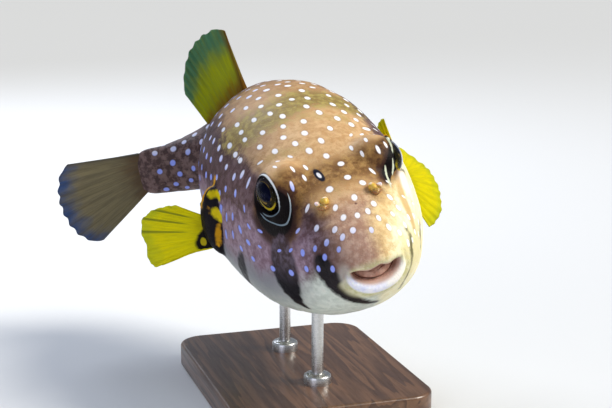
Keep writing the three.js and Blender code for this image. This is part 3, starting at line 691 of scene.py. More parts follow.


# ---- The skin's paint ----
# Thin coats of acrylic, airbrushed from olive and golden tan on the back through mauve brown on the
# flanks to a cream belly, with the spots and rings put on by brush and a thin matt varnish over all. Some of
# the paint is painted light and shade: shade on the fish's right flank, towards the rear and under the right
# eye, light and highlights on its left cheek, and shade on the spots, the rings, the groove and the fin
# creases.


class Shader:
    """A material whose nodes are put together by name."""

    def __init__(self, name, tree=None):
        self.material = None if tree else bpy.data.materials.new(name)
        if self.material:
            self.material.use_nodes = True
            tree = self.material.node_tree
            self.surface = tree.nodes["Principled BSDF"]
        self.tree = tree

    def add(self, kind, inputs=None, output=0, **settings):
        """Adds a node, sets it, joins its inputs, and gives one of its outputs."""
        node = self.tree.nodes.new("ShaderNode" + kind)
        for key, value in settings.items():
            setattr(node, key, value)
        for key, value in (inputs or {}).items():
            self.plug(node.inputs[key], value)
        return node.outputs[output]

    def plug(self, socket, value):
        """Joins a value from a node, or sets a plain one."""
        if isinstance(value, bpy.types.NodeSocket):
            self.tree.links.new(value, socket)
        elif isinstance(value, tuple) and len(value) == 3 and socket.type == "RGBA":
            socket.default_value = (*value, 1)
        else:
            socket.default_value = value

    def value(self, key):
        """A number stored on the piece."""
        return self.add("Attribute", output="Fac", attribute_name=key)

    def vector(self, key):
        """Three numbers stored on the piece."""
        return self.add("Attribute", output="Vector", attribute_name=key)

    def split(self, vector):
        """The three numbers of a vector."""
        node = self.add("SeparateXYZ", {0: vector}).node
        return node.outputs[0], node.outputs[1], node.outputs[2]

    def math(self, operation, a, b=0.0, c=0.0):
        """Arithmetic on numbers."""
        return self.add("Math", {0: a, 1: b, 2: c}, operation=operation)

    def times(self, a, b):
        """The product of two numbers."""
        return self.math("MULTIPLY", a, b)

    def length(self, u, v):
        """How far a place in a plane lies from its middle."""
        return self.math("SQRT", self.math("ADD", self.times(u, u), self.times(v, v)))

    def away(self, value, middle):
        """How far a number lies from another."""
        return self.math("ABSOLUTE", self.math("SUBTRACT", value, middle))

    def rise(self, value, low, high, start=0.0, end=1.0):
        """A smooth step from start to end as the value goes from low to high."""
        inputs = {"Value": value, "From Min": low, "From Max": high, "To Min": start, "To Max": end}
        return self.add("MapRange", inputs, interpolation_type="SMOOTHSTEP")

    def noise(self, vector, scale, detail, rough):
        """Fractal noise between 0 and 1."""
        inputs = {"Vector": vector, "Scale": scale, "Detail": detail, "Roughness": rough}
        return self.add("TexNoise", inputs, output="Fac")

    def mix(self, factor, a, b, blend="MIX"):
        """One colour laid over another."""
        node = self.add("Mix", data_type="RGBA", blend_type=blend).node
        self.plug(node.inputs[0], factor)
        self.plug(node.inputs[6], a)
        self.plug(node.inputs[7], b)
        return node.outputs[2]

    def layered(self, ground, *coats):
        """A ground colour under coats of others, each given with how thickly it lies."""
        for cover, tint in coats:
            ground = self.mix(cover, ground, tint)
        return ground

    def bump(self, height, distance):
        """A fine relief, with its depth in metres."""
        return self.add("Bump", {"Height": height, "Distance": distance, "Strength": 1.0})

    def finish(self, **sockets):
        """Sets the surface's own sockets."""
        for key, value in sockets.items():
            self.plug(self.surface.inputs[key.replace("_", " ")], value)


def shader_group(name, entry, *results):
    """A group of nodes with a vector going in and numbers coming out, and the sockets inside it."""
    tree = bpy.data.node_groups.new(name, "ShaderNodeTree")
    tree.interface.new_socket(entry, in_out="INPUT", socket_type="NodeSocketVector")
    for result in results:
        tree.interface.new_socket(result, in_out="OUTPUT", socket_type="NodeSocketFloat")
    place = tree.nodes.new("NodeGroupInput").outputs[entry]
    return Shader(name, tree), place, tree.nodes.new("NodeGroupOutput").inputs


# The fine relief of skin, low prickle bumps on soft creases, and a cloudy mottle to colour it by.
fine_skin, place, results = shader_group("Fine skin", "Vector", "Height", "Mottle")
cells = fine_skin.add("TexVoronoi", {"Vector": place, "Scale": 0.75}, output="Distance")
bumps = fine_skin.rise(cells, 0.45, 0.05)
creases = fine_skin.noise(place, 1.6, 5.0, 0.65)
fine_skin.plug(results["Height"], fine_skin.math("MULTIPLY_ADD", bumps, 0.5, creases))
fine_skin.plug(results["Mottle"], fine_skin.noise(place, 0.28, 6.0, 0.62))

paint = Shader("skin_paint")
place = paint.vector("straight")
skin_x, skin_y, _ = paint.split(place)
fine = paint.add("Group", {"Vector": place}, node_tree=fine_skin.tree).node
mottle = fine.outputs["Mottle"]
cloud = paint.noise(place, 0.055, 4.0, 0.6)
drift = paint.math("SUBTRACT", mottle, 0.5)


def mottled(dark, light, low, high):
    """A colour that goes from dark to light with the mottle."""
    return paint.mix(paint.rise(mottle, low, high), dark, light)


def zone(key, ragged, low, high, cover=1.0):
    """How thickly a zone of the skin is painted, with its edge made ragged by the mottle."""
    return paint.rise(paint.math("MULTIPLY_ADD", drift, ragged, paint.value(key)), low, high, 0, cover)


# The ground: golden tan on the back, with olive saddles, and dark brown flanks that turn mauve below. The
# mauve low on the fish's right is partly its own colour and partly a painted bluish shade, painted shade
# darkens the flanks towards the rear, and painted shade darkens the tan at the rear of the crown and on the
# fish's right.
# The snout is pinker, and the tail stalk is dark.
tan = paint.layered(
    mottled((0.53, 0.31, 0.135), (0.7, 0.47, 0.25), 0.35, 0.68),
    (paint.rise(cloud, 0.55, 0.75, 0, 0.6), (0.46, 0.34, 0.12)),
)
# Painted shade darkens the tan at the rear of the crown and on the fish's right.
tan = paint.mix(paint.times(paint.value("crown_shade"), 0.85), tan, (0.62, 0.56, 0.52), "MULTIPLY")
flank = paint.layered(
    mottled((0.085, 0.044, 0.04), (0.17, 0.105, 0.115), 0.35, 0.66),
    (paint.rise(cloud, 0.5, 0.72, 0, 0.7), (0.06, 0.032, 0.03)),
    # Painted shade: the flanks darken towards the rear.
    (paint.rise(skin_y, 70.0, 125.0, 0, 0.5), (0.045, 0.025, 0.027)),
    # Partly painted bluish shade: the mauve low on the fish's right flank.
    (zone("low_flank_mauve_shade", 0.9, 0.1, 0.95), mottled((0.19, 0.112, 0.142), (0.36, 0.262, 0.33), 0.33, 0.68)),
)
back = zone("back", 0.5, 0.1, 0.75)
saddle = paint.times(paint.value("saddle"), paint.rise(back, 0.1, 0.9, 0.75, 1))
saddle = paint.rise(paint.math("MULTIPLY_ADD", drift, 1.1, saddle), 0.3, 0.85)
snout = paint.rise(paint.value("snout"), 0.1, 1.0, 0, 0.85)
colour = paint.layered(
    flank,
    (back, tan),
    (saddle, mottled((0.26, 0.18, 0.055), (0.42, 0.325, 0.1), 0.4, 0.65)),
    (snout, mottled((0.4, 0.235, 0.17), (0.56, 0.38, 0.29), 0.4, 0.65)),
    (paint.value("stalk"), mottled((0.07, 0.043, 0.041), (0.19, 0.125, 0.118), 0.4, 0.62)),
)

# The cream belly, with painted shade greying it low on the fish's right flank, and the pale left cheek with
# its gold, its pink and its streak. The cheek's cream and gold are partly its own pale colour and partly
# painted light on the side that faces the key sun, and its pink is a painted highlight.
belly = mottled((0.54, 0.59, 0.52), (0.74, 0.78, 0.7), 0.35, 0.7)
# Painted shade greys the belly low on the fish's right flank.
belly = paint.mix(paint.value("belly_shade"), belly, (0.25, 0.25, 0.27))
colour = paint.layered(
    colour,
    (zone("belly", 0.7, 0.12, 0.9), belly),
    # Partly painted light: gold and cream on the left cheek that faces the key sun.
    (zone("gold_lit_left", 0.8, 0.1, 0.95), mottled((0.68, 0.46, 0.2), (0.84, 0.64, 0.33), 0.35, 0.65)),
    (zone("cream_lit_left", 0.9, 0.1, 0.9), mottled((0.88, 0.78, 0.45), (0.95, 0.9, 0.66), 0.35, 0.65)),
    (paint.times(paint.value("low_cheek"), 0.6), (0.58, 0.5, 0.2)),
    # Painted highlight: white-pink on the cheek below the left eye.
    (zone("pink_highlight_left", 0.5, 0.2, 0.9), (0.93, 0.84, 0.8)),
    (paint.times(paint.value("streak"), 0.8), (0.6, 0.38, 0.13)),
)

# Round the eyes: a golden brown band across the brow, brown that deepens, and black.
colour = paint.layered(
    colour,
    (zone("band", 0.9, 0.05, 0.9, 0.92), mottled((0.15, 0.068, 0.024), (0.4, 0.23, 0.075), 0.36, 0.66)),
    (zone("brow", 0.6, 0.2, 0.95, 0.92), mottled((0.05, 0.02, 0.012), (0.2, 0.1, 0.032), 0.38, 0.66)),
    (zone("near_eye", 0.8, 0.05, 1.0, 0.9), (0.03, 0.012, 0.011)),
    (zone("eye_dark", 0.5, 0.05, 0.75), (0.003, 0.001, 0.0015)),
)

# The stripes are black, greyer and mottled at their tops, and olive where they are thin. The skin is golden
# brown round the nostrils.
stripe_black = paint.layered(
    (0.004, 0.003, 0.005),
    (paint.rise(cloud, 0.42, 0.62), (0.02, 0.016, 0.018)),
    (paint.value("stripe_soft"), mottled((0.05, 0.03, 0.034), (0.12, 0.09, 0.12), 0.42, 0.6)),
    (paint.times(paint.value("stripe_thin"), 0.8), (0.16, 0.145, 0.05)),
)
nostril = paint.rise(paint.value("nostril"), 0.15, 0.9, 0, 0.8)
colour = paint.layered(
    colour,
    (zone("stripe", 5.0, -1.5, 1.4), stripe_black),
    (nostril, mottled((0.3, 0.15, 0.05), (0.5, 0.3, 0.1), 0.4, 0.62)),
)

# Spots: clean white where painted light falls on the back and the fish's left, painted bluish shade on the
# flanks away from the light, and each with a faint dark halo.
spot_u, spot_v, spot_away = paint.split(paint.vector("spot"))
spot_edge = paint.math("MULTIPLY_ADD", drift, 0.35, paint.length(spot_u, spot_v))
spot = paint.times(paint.rise(spot_edge, 1.2, 0.74), paint.rise(spot_away, 1.7, 1.4))
halo = paint.times(paint.rise(spot_edge, 1.7, 1.0, 0, 0.22), paint.rise(spot_away, 1.9, 1.5))
spot_lit_and_shaded = paint.mix(paint.value("lit"), (0.3, 0.37, 0.92), (0.93, 0.92, 0.95))
colour = paint.layered(colour, (halo, (0.05, 0.03, 0.03)), (spot, spot_lit_and_shaded))

# One dark fleck on the snout.
colour = paint.mix(paint.rise(paint.value("snout_dot"), 0.95, 0.5, 0, 0.8), colour, (0.1, 0.03, 0.03))

# The white rings round the eyes, painted darker below as shade, and the straight lines in front of the left
# eye.
ring_colour = paint.mix(paint.value("ring_lit_top"), (0.17, 0.23, 0.27), (0.78, 0.82, 0.82))
ring_colours = ring_colour, ring_colour, (0.62, 0.66, 0.5)
ring_places, ring_shares = paint.split(paint.vector("rings")), paint.split(paint.vector("ring_share"))
for ring, share, white in zip(ring_places, ring_shares, ring_colours):
    line = paint.rise(paint.math("ABSOLUTE", ring), 1.45, 0.6)
    colour = paint.mix(paint.times(line, paint.rise(share, 0.02, 0.3)), colour, white)

# The black-ringed white spot on the brow.
ring_u, ring_v, ring_away = paint.split(paint.vector("ringed"))
ring_edge = paint.length(ring_u, ring_v)
beside = paint.rise(ring_away, 8.0, 6.0)
colour = paint.layered(
    colour,
    (paint.times(paint.rise(ring_edge, 1.1, 0.86), beside), (0.008, 0.008, 0.02)),
    (paint.times(paint.rise(ring_edge, 0.52, 0.34), beside), (0.8, 0.82, 0.88)),
)

# The pads of the pectoral fins: black, with orange and yellow bars.
colour = paint.layered(
    colour,
    (zone("pad", 0.2, 1.1, 0.94), (0.007, 0.005, 0.008)),
    (zone("pad_orange", 0.12, -0.02, 0.05), (0.6, 0.29, 0.007)),
    (zone("pad_yellow", 0.12, -0.02, 0.05), (0.7, 0.55, 0.006)),
)

# Mouth and lips: cream round the lips, lavender white on the lower lip, pink on the rim, and rose brown gums
# with painted shade along the groove across the lower one.
lip_t, low, mouth_s = paint.value("lip"), paint.value("low"), paint.value("mouth")
cream_edge = paint.math("SUBTRACT", paint.rise(low, 0.0, 1.0, 4.35, 6.3), lip_t)
lower_lip = mottled((0.72, 0.74, 0.93), (0.93, 0.92, 0.96), 0.35, 0.65)
lower_lip = paint.mix(paint.rise(skin_x, -3.0, 9.0, 0, 0.85), lower_lip, (0.93, 0.88, 0.76))
high_gum = paint.times(paint.rise(mouth_s, 0.45, 0.8), paint.rise(low, 0.6, 0.0))
gum = mottled((0.4, 0.21, 0.15), (0.55, 0.33, 0.25), 0.4, 0.62)
gum = paint.mix(high_gum, gum, (0.3, 0.105, 0.06))
# Painted shade: a dark line along the deepest part of the groove in the lower gum.
groove = paint.times(paint.rise(paint.away(mouth_s, 0.72), 0.06, 0.015), low)
colour = paint.layered(
    colour,
    (paint.rise(cream_edge, -0.5, 0.9, 0, 0.9), mottled((0.56, 0.53, 0.27), (0.74, 0.7, 0.45), 0.4, 0.62)),
    (paint.rise(paint.value("lip_corner"), 0.1, 0.8, 0, 0.6), (0.5, 0.47, 0.42)),
    (paint.times(paint.rise(lip_t, 5.1, 4.4), low), lower_lip),
    (paint.rise(lip_t, 3.75, 3.15), (0.55, 0.37, 0.3)),
    (paint.rise(mouth_s, 0.97, 0.86), gum),
    (groove, (0.16, 0.045, 0.025)),
)

roughness = paint.rise(mottle, 0.3, 0.7, 0.36, 0.5)
relief = paint.bump(fine.outputs["Height"], 0.00016)
paint.finish(Base_Color=colour, Roughness=roughness, Normal=relief, Subsurface_Weight=0.05,
             Subsurface_Scale=0.002, Specular_IOR_Level=0.08)
skin_piece.data.materials.append(paint.material)
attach(skin_piece, "root")
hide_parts("head", "upper_lip", "lower_lip", "mouth_lining", "trunk", "belly", "tail_stalk",
            "pectoral_base_left", "pectoral_base_right")


# ---- The eyes ----
# Each eyeball is cast in dark resin: a painted iris, flat on the right eye and domed on the left, with gold
# along its lower edge, and a near-black lens that bulges through the pupil, tinted deep blue as a painted
# reflection that is stronger in front. A clear domed cornea is glued over it, and the skin's rim holds both.

# Each row is a ring of the ball: distance from the ring's centre, height along the axis, and how far the
# ring is shifted from the eye's axis towards the pupil's place.
EYEBALL_ROWS = [
    (0.6, -11.0, 0), (5, -9.8, 0), (8.8, -6.4, 0), (10.5, -2.4, 0), (10.8, 0.6, 0), (10.5, 2.5, 0),
    (10.15, 3.6, 0), (9.5, 4.9, 0.05), (8.4, 6.4, 0.15), (7.3, 7.55, 0.25), (6.9, 7.8, 0.35),
    (6.3, 8.05, 0.55), (5.7, 8.2, 0.8), (5.3, 8.25, 1), (5.1, 8.35, 1), (4.7, 8.8, 1), (3.8, 9.45, 1),
    (2.5, 10.1, 1), (1.2, 10.5, 1), (0.3, 10.7, 1),
]
# How far the pupil lies ahead of the axis and above it, its height for its width, the iris's radius, and
# the radius that the left one is domed to.
PUPIL_SHIFT = np.array([-0.9, 1.2])
PUPIL_TALL = 0.88
IRIS_RADIUS, IRIS_DOME = 7.3, 10.8
CORNEA = {"outer": 11.3, "inner": 11.0, "edge": 70}
EYE_TURNS = 96
BALL_RINGS, CORNEA_RINGS = 110, 44


def from_eye(side, ahead_by, up_by, out_by):
    """Straight-fish points from distances ahead, up and out of an eye's centre."""
    centre, out, ahead, up = eye_frame(side)
    parts = (ahead_by, ahead), (up_by, up), (out_by, out)
    return centre + sum(np.asarray(by)[..., None] * direction for by, direction in parts)


def closed_net(rings):
    """Points and outward faces of a round net with a single point at each end."""
    rings = np.asarray(rings)
    count, turns = rings.shape[:2]
    faces = net_faces(count, turns)
    cap_faces(faces, 0, turns, count * turns, forwards=False)
    cap_faces(faces, (count - 1) * turns, turns, count * turns + 1, forwards=True)
    points = np.vstack([rings.reshape(-1, 3), rings[0].mean(axis=0), rings[-1].mean(axis=0)])
    centre = points.mean(axis=0)
    corners = points[np.array([face[:3] for face in faces])]
    turned = np.cross(corners[:, 1] - corners[:, 0], corners[:, 2] - corners[:, 0])
    volume = np.sum((corners[:, 0] - centre) * turned)
    return points, faces if volume > 0 else [face[::-1] for face in faces]


# The iris is dark brown with fine fibres, gold low at its edge, greyer at the top, and gold in patches round
# the pupil. Its radius counts 1 at the edge of the flat part, and the pupil begins inside 0.73.
iris = Shader("iris_paint")
iris_x, iris_y, iris_r = iris.split(iris.vector("iris"))
fibre = iris.noise(iris.vector("fibre"), 1.0, 3.0, 0.6)
patches = iris.noise(iris.vector("iris"), 2.2, 2.0, 0.5)
low_iris = iris.rise(iris.math("MULTIPLY_ADD", iris_x, 0.2, iris_y), 0.0, -0.35)
leaning_r = iris.math("MULTIPLY_ADD", iris_x, -0.09, iris_r)
outer_iris = iris.times(iris.rise(leaning_r, 0.9, 0.95), low_iris)
outer_iris = iris.times(outer_iris, iris.rise(fibre, 0.25, 0.5, 0.65, 1))
front_iris = iris.times(iris.rise(iris_x, 0.62, 0.85), iris.rise(iris_y, 0.6, -0.1))
top_iris = iris.times(iris.rise(iris_y, 0.5, 0.8), iris.rise(iris_r, 0.7, 0.9))
inner_gold = iris.rise(iris.away(iris_r, 0.77), 0.045, 0.01)
inner_gold = iris.times(inner_gold, iris.rise(patches, 0.42, 0.6))
# Painted reflection: the dark pupil is tinted deep blue, more in front.
pupil_blue_reflection = iris.mix(iris.rise(iris_x, -0.3, 0.45), (0.0005, 0.0005, 0.002), (0.001, 0.002, 0.016))
iris_colour = iris.layered(
    (0.005, 0.003, 0.002),
    (iris.rise(fibre, 0.35, 0.65), (0.022, 0.014, 0.005)),
    (outer_iris, (0.8, 0.56, 0.012)),
    (iris.times(front_iris, 0.1), (0.2, 0.17, 0.02)),
    (iris.times(top_iris, 0.4), (0.07, 0.05, 0.05)),
    (inner_gold, (0.36, 0.22, 0.03)),
    (iris.rise(iris_r, 1.05, 1.1), (0.004, 0.003, 0.004)),
    (iris.rise(iris_r, 0.735, 0.715), pupil_blue_reflection),
)
iris.finish(Base_Color=iris_colour, Roughness=0.4, Specular_IOR_Level=0.05)

cornea_clear = Shader("cornea_clear")
cornea_clear.finish(Base_Color=(0.84, 0.87, 0.95), Roughness=0.0, IOR=1.06, Transmission_Weight=1.0)

# The ball's rings, with the pupil set off the axis, and the cornea's shell, down its outside and up inside.
angles = np.arange(EYE_TURNS) * 2 * math.pi / EYE_TURNS
ball_rows = through_rows(EYEBALL_ROWS, np.linspace(0, len(EYEBALL_ROWS) - 1, BALL_RINGS))
reach, height, shift = (ball_rows[:, k, None] for k in range(3))
tall = 1 + (PUPIL_TALL - 1) * np.where(height > 7, shift, 0)
ball_ahead = reach * np.cos(angles) / tall + shift * PUPIL_SHIFT[0]
ball_up = reach * np.sin(angles) * tall + shift * PUPIL_SHIFT[1]
iris_share = np.where(height > 0, reach, 12) / IRIS_RADIUS + 0 * angles
fibre_place = [np.cos(angles) * 14 + 0 * reach, np.sin(angles) * 14 + 0 * reach, iris_share * 3]
fibre_place = np.stack(fibre_place, -1)

lean = np.radians(np.linspace(0.3, CORNEA["edge"], CORNEA_RINGS))[:, None]
shell_reach = np.vstack([CORNEA["outer"] * np.sin(lean), CORNEA["inner"] * np.sin(lean[::-1])])
shell_height = np.vstack([CORNEA["outer"] * np.cos(lean), CORNEA["inner"] * np.cos(lean[::-1])])

for name, side in sides.items():
    # The left iris is domed, because that eye is seen mostly from its edge and has to fill the cornea there.
    away = np.sqrt(ball_ahead**2 + ball_up**2 + height**2)
    fuller = 1 + np.maximum(IRIS_DOME / away - 1, 0) * smoothstep(3.6, 4.9, height) * (side > 0)
    points, faces = closed_net(from_eye(side, ball_ahead * fuller, ball_up * fuller, height * fuller))
    ends = [(0, 0, 2), (0, 0, 0)]
    # The gold is broader at the lower front of the left iris.
    turned_front = (np.degrees(angles) + 180) % 360 - 180
    broader = hump(turned_front + 42, 36) * smoothstep(0.82, 0.95, iris_share) * (side > 0)
    share = iris_share + (0.97 + 0.25 * (iris_share - 1.15) - iris_share) * broader
    iris_place = np.stack([np.cos(angles) * share, np.sin(angles) * share, share], -1)
    ball = make_piece(f"eyeball_{name}", in_place(points), faces, {
        "iris": np.vstack([iris_place.reshape(-1, 3), ends]),
        "fibre": np.vstack([fibre_place.reshape(-1, 3), ends]),
    })
    ball.data.materials.append(iris.material)
    shell_ahead, shell_up = shell_reach * np.cos(angles), shell_reach * np.sin(angles)
    points, faces = closed_net(from_eye(side, shell_ahead, shell_up, shell_height + 0 * angles))
    cornea = make_piece(f"cornea_{name}", in_place(points), faces)
    cornea.data.materials.append(cornea_clear.material)
    for piece in (ball, cornea):
        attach(piece, "root")
        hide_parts(f"eye_{name}")


# ---- The nostril flaps ----
# On each side of the snout stands a small fleshy flap: a low cushion that splits into two rounded lips.
# They are cast in soft resin, tinted gold, mauve on the outer lip, and varnished. Their feet are browner,
# partly as painted shade, and their tops paler, partly as a painted highlight; the outer lip's mauve is
# partly a painted highlight too.

# Each lip of the flap: how far outwards and back of the nostril it stands, its height, half width and half
# thickness, its lean outwards in degrees, and its turn about the upright.
FLAP_LIPS = [(1.7, 0.2, 2.6, 1.9, 0.8, 34, 14), (-1.0, 0, 3.6, 2.5, 1.5, -14, -12)]

flesh = Shader("flap_paint")
flap_height = flesh.value("height")
flap_fine = flesh.noise(flesh.vector("straight"), 1.3, 4.0, 0.6)
outer_lip = flesh.times(flesh.value("lobe"), flesh.rise(flap_height, 0.2, 0.8, 0, 0.85))
# Partly painted light: browner at the foot as shade, cream on the tops as a highlight, and the outer lip's
# mauve partly a highlight.
flap_colour = flesh.layered(
    (0.3, 0.13, 0.05),
    (flesh.rise(flap_height, 0.0, 0.6), (0.68, 0.44, 0.06)),
    (flesh.rise(flap_fine, 0.45, 0.7, 0, 0.4), (0.85, 0.64, 0.18)),
    (flesh.rise(flap_height, 0.82, 1.0, 0, 0.8), (0.93, 0.88, 0.66)),
    (outer_lip, (0.78, 0.72, 0.82)),
)
flesh.finish(Base_Color=flap_colour, Roughness=0.3, Subsurface_Weight=0.3, Subsurface_Scale=0.002,
             Specular_IOR_Level=0.35, Normal=flesh.bump(flap_fine, 0.00008))

for name, side in sides.items():
    nostril = np.array([side * NOSTRIL["across"], NOSTRIL["back"], NOSTRIL["up"]])
    rows_up, around = np.meshgrid(np.linspace(0.02, 0.999, 26), angles[::2], indexing="ij")
    flap_points, flap_faces, flap_heights, flap_lobes = [], [], [], []
    # The cushion comes first, and then the two lips.
    lift = np.cos(rows_up * math.pi)
    swell = np.sin(rows_up * math.pi) * (1 + 0.06 * np.sin(3 * around + 1))
    cushion = [2.7 * swell * np.cos(around), 3.0 * swell * np.sin(around), 1.9 * lift - 0.5]
    parts = [(nostril + np.stack(cushion, -1), lift * 0.3, 0.0)]
    for outwards, back, tall, half_width, half_thick, lean_by, turn_by in FLAP_LIPS:
        width = half_width * np.sqrt(np.clip(1 - rows_up**2.6, 0, 1))
        width = width * (0.72 + 0.28 * np.sin(rows_up * math.pi))
        thick = half_thick * np.sqrt(np.clip(1 - rows_up**4, 0, 1)) * (1 + 0.5 * (1 - rows_up))
        along = width * np.cos(around)
        over = thick * np.sin(around) - 0.13 * along**2 * np.sign(lean_by)
        bend = np.radians(lean_by) * (0.5 + 0.7 * rows_up)
        stand = np.stack([over * np.cos(bend) + tall * rows_up * np.sin(bend), along,
                          tall * rows_up * np.cos(bend) - over * np.sin(bend)], -1)
        cosine, sine = math.cos(math.radians(turn_by)), math.sin(math.radians(turn_by))
        swing = np.array([[cosine, -sine, 0], [sine, cosine, 0], [0, 0, 1]])
        stand = stand @ swing.T * [side, 1, 1]
        parts.append((nostril + [side * outwards, back, 0.2] + stand, rows_up, 1.0 if outwards > 0 else 0.0))
    for rings_of_part, heights, lobe in parts:
        points, faces = closed_net(rings_of_part)
        start = len(flap_points)
        flap_points.extend(points.tolist())
        flap_faces.extend([tuple(start + corner for corner in face) for face in faces])
        flap_heights.extend(np.append(heights.ravel(), [heights[0, 0], heights[-1, 0]]).tolist())
        flap_lobes.extend([lobe] * len(points))
    flap = make_piece(f"nostril_flap_{name}", in_place(flap_points), flap_faces,
                      {"straight": flap_points, "height": flap_heights, "lobe": flap_lobes})
    flap.data.materials.append(flesh.material)
    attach(flap, "root")
    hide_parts(f"nostril_{name}")


# ---- The fins ----
# Each fin is a thin web of translucent resin on soft rays that fork halfway out, glued into the body at its
# root. The pectoral fins are spread yellow fans; the dorsal, anal and tail fins stand on the middle line.

# Values in brackets run along the root from the first ray to the last: the aim of the rays in degrees, and
# their reach. The foot is the web's thickness at its root.
PECTORAL = {"rays": 17, "scallops": 6, "foot": 1.7, "folds": 0.32, "slot": "pectoral_fin"}
FINS = {
    "pectoral_fin_right": {
        **PECTORAL, "side": -1, "backward": (10, 16, 20, 24, 28, 34),
        "upward": (34, 24, 14, -2, -17, -10), "reach": (19, 31, 36, 36, 36, 15),
    },
    "pectoral_fin_left": {
        **PECTORAL, "side": 1, "backward": (97, 92, 60, 40, 28, 24),
        "upward": (61, 26, -11, -26, -44, -67), "reach": (24, 26, 36, 37, 38, 33),
    },
    "dorsal_fin": {
        "rays": 11, "scallops": 7, "foot": 3.8, "folds": 0.35, "slot": "back_fin",
        "root": ((0, 173, 41), (0, 203, 23)), "upward": (78, 72, 69, 68, 66),
        "reach": (38, 42, 42, 37, 27),
    },
    "anal_fin": {
        "rays": 10, "scallops": 6, "foot": 3.2, "folds": 0.3, "slot": "back_fin",
        "root": ((0, 184, -15), (0, 207, -8)), "upward": (-72, -66, -60, -52, -40),
        "reach": (30, 33, 31, 26, 18),
    },
    "tail_fin": {
        "rays": 9, "scallops": 8, "foot": 3.4, "folds": 0.4, "slot": "back_fin",
        "root": ((0, 246, 21), (0, 246, -2)), "upward": (6, -4, -14, -24, -35),
        "reach": (44, 50, 52, 50, 43),
    },
}
PECTORAL_ROOT = {"across": 52, "back": 103, "top": 4, "bottom": -13}
# The web's thickness at its edge, and the points along a fin and outwards.
WEB_EDGE = 0.5
ALONG_FIN, OUT_FIN = 150, 44


def fin_sheet(fin, u, v):
    """The middle surface of a fin in the straight fish, from first ray to last and from root to edge."""
    if "side" in fin:
        height = PECTORAL_ROOT["top"] + (PECTORAL_ROOT["bottom"] - PECTORAL_ROOT["top"]) * u
        across = 0 * u + fin["side"] * PECTORAL_ROOT["across"]
        root = np.stack([across, 0 * u + PECTORAL_ROOT["back"], height], -1)
        backward, upward = np.radians(profile(fin["backward"], u)), np.radians(profile(fin["upward"], u))
        outward = fin["side"] * np.cos(backward) * np.cos(upward)
        aim = [outward, np.sin(backward) * np.cos(upward), np.sin(upward)]
    else:
        first, last = np.array(fin["root"], float)
        root = first + (last - first) * u[..., None]
        upward = np.radians(profile(fin["upward"], u))
        aim = [0 * u, np.cos(upward), np.sin(upward)]
    scallop = 1 - 0.022 * np.sin(math.pi * fin["scallops"] * u) ** 2 * v
    # The corners of the outer edge are rounded off.
    scallop = scallop - 0.08 * np.maximum(1 - np.minimum(u, 1 - u) / 0.09, 0) ** 2 * v
    return root + np.stack(aim, -1) * (profile(fin["reach"], u) * v * scallop)[..., None]


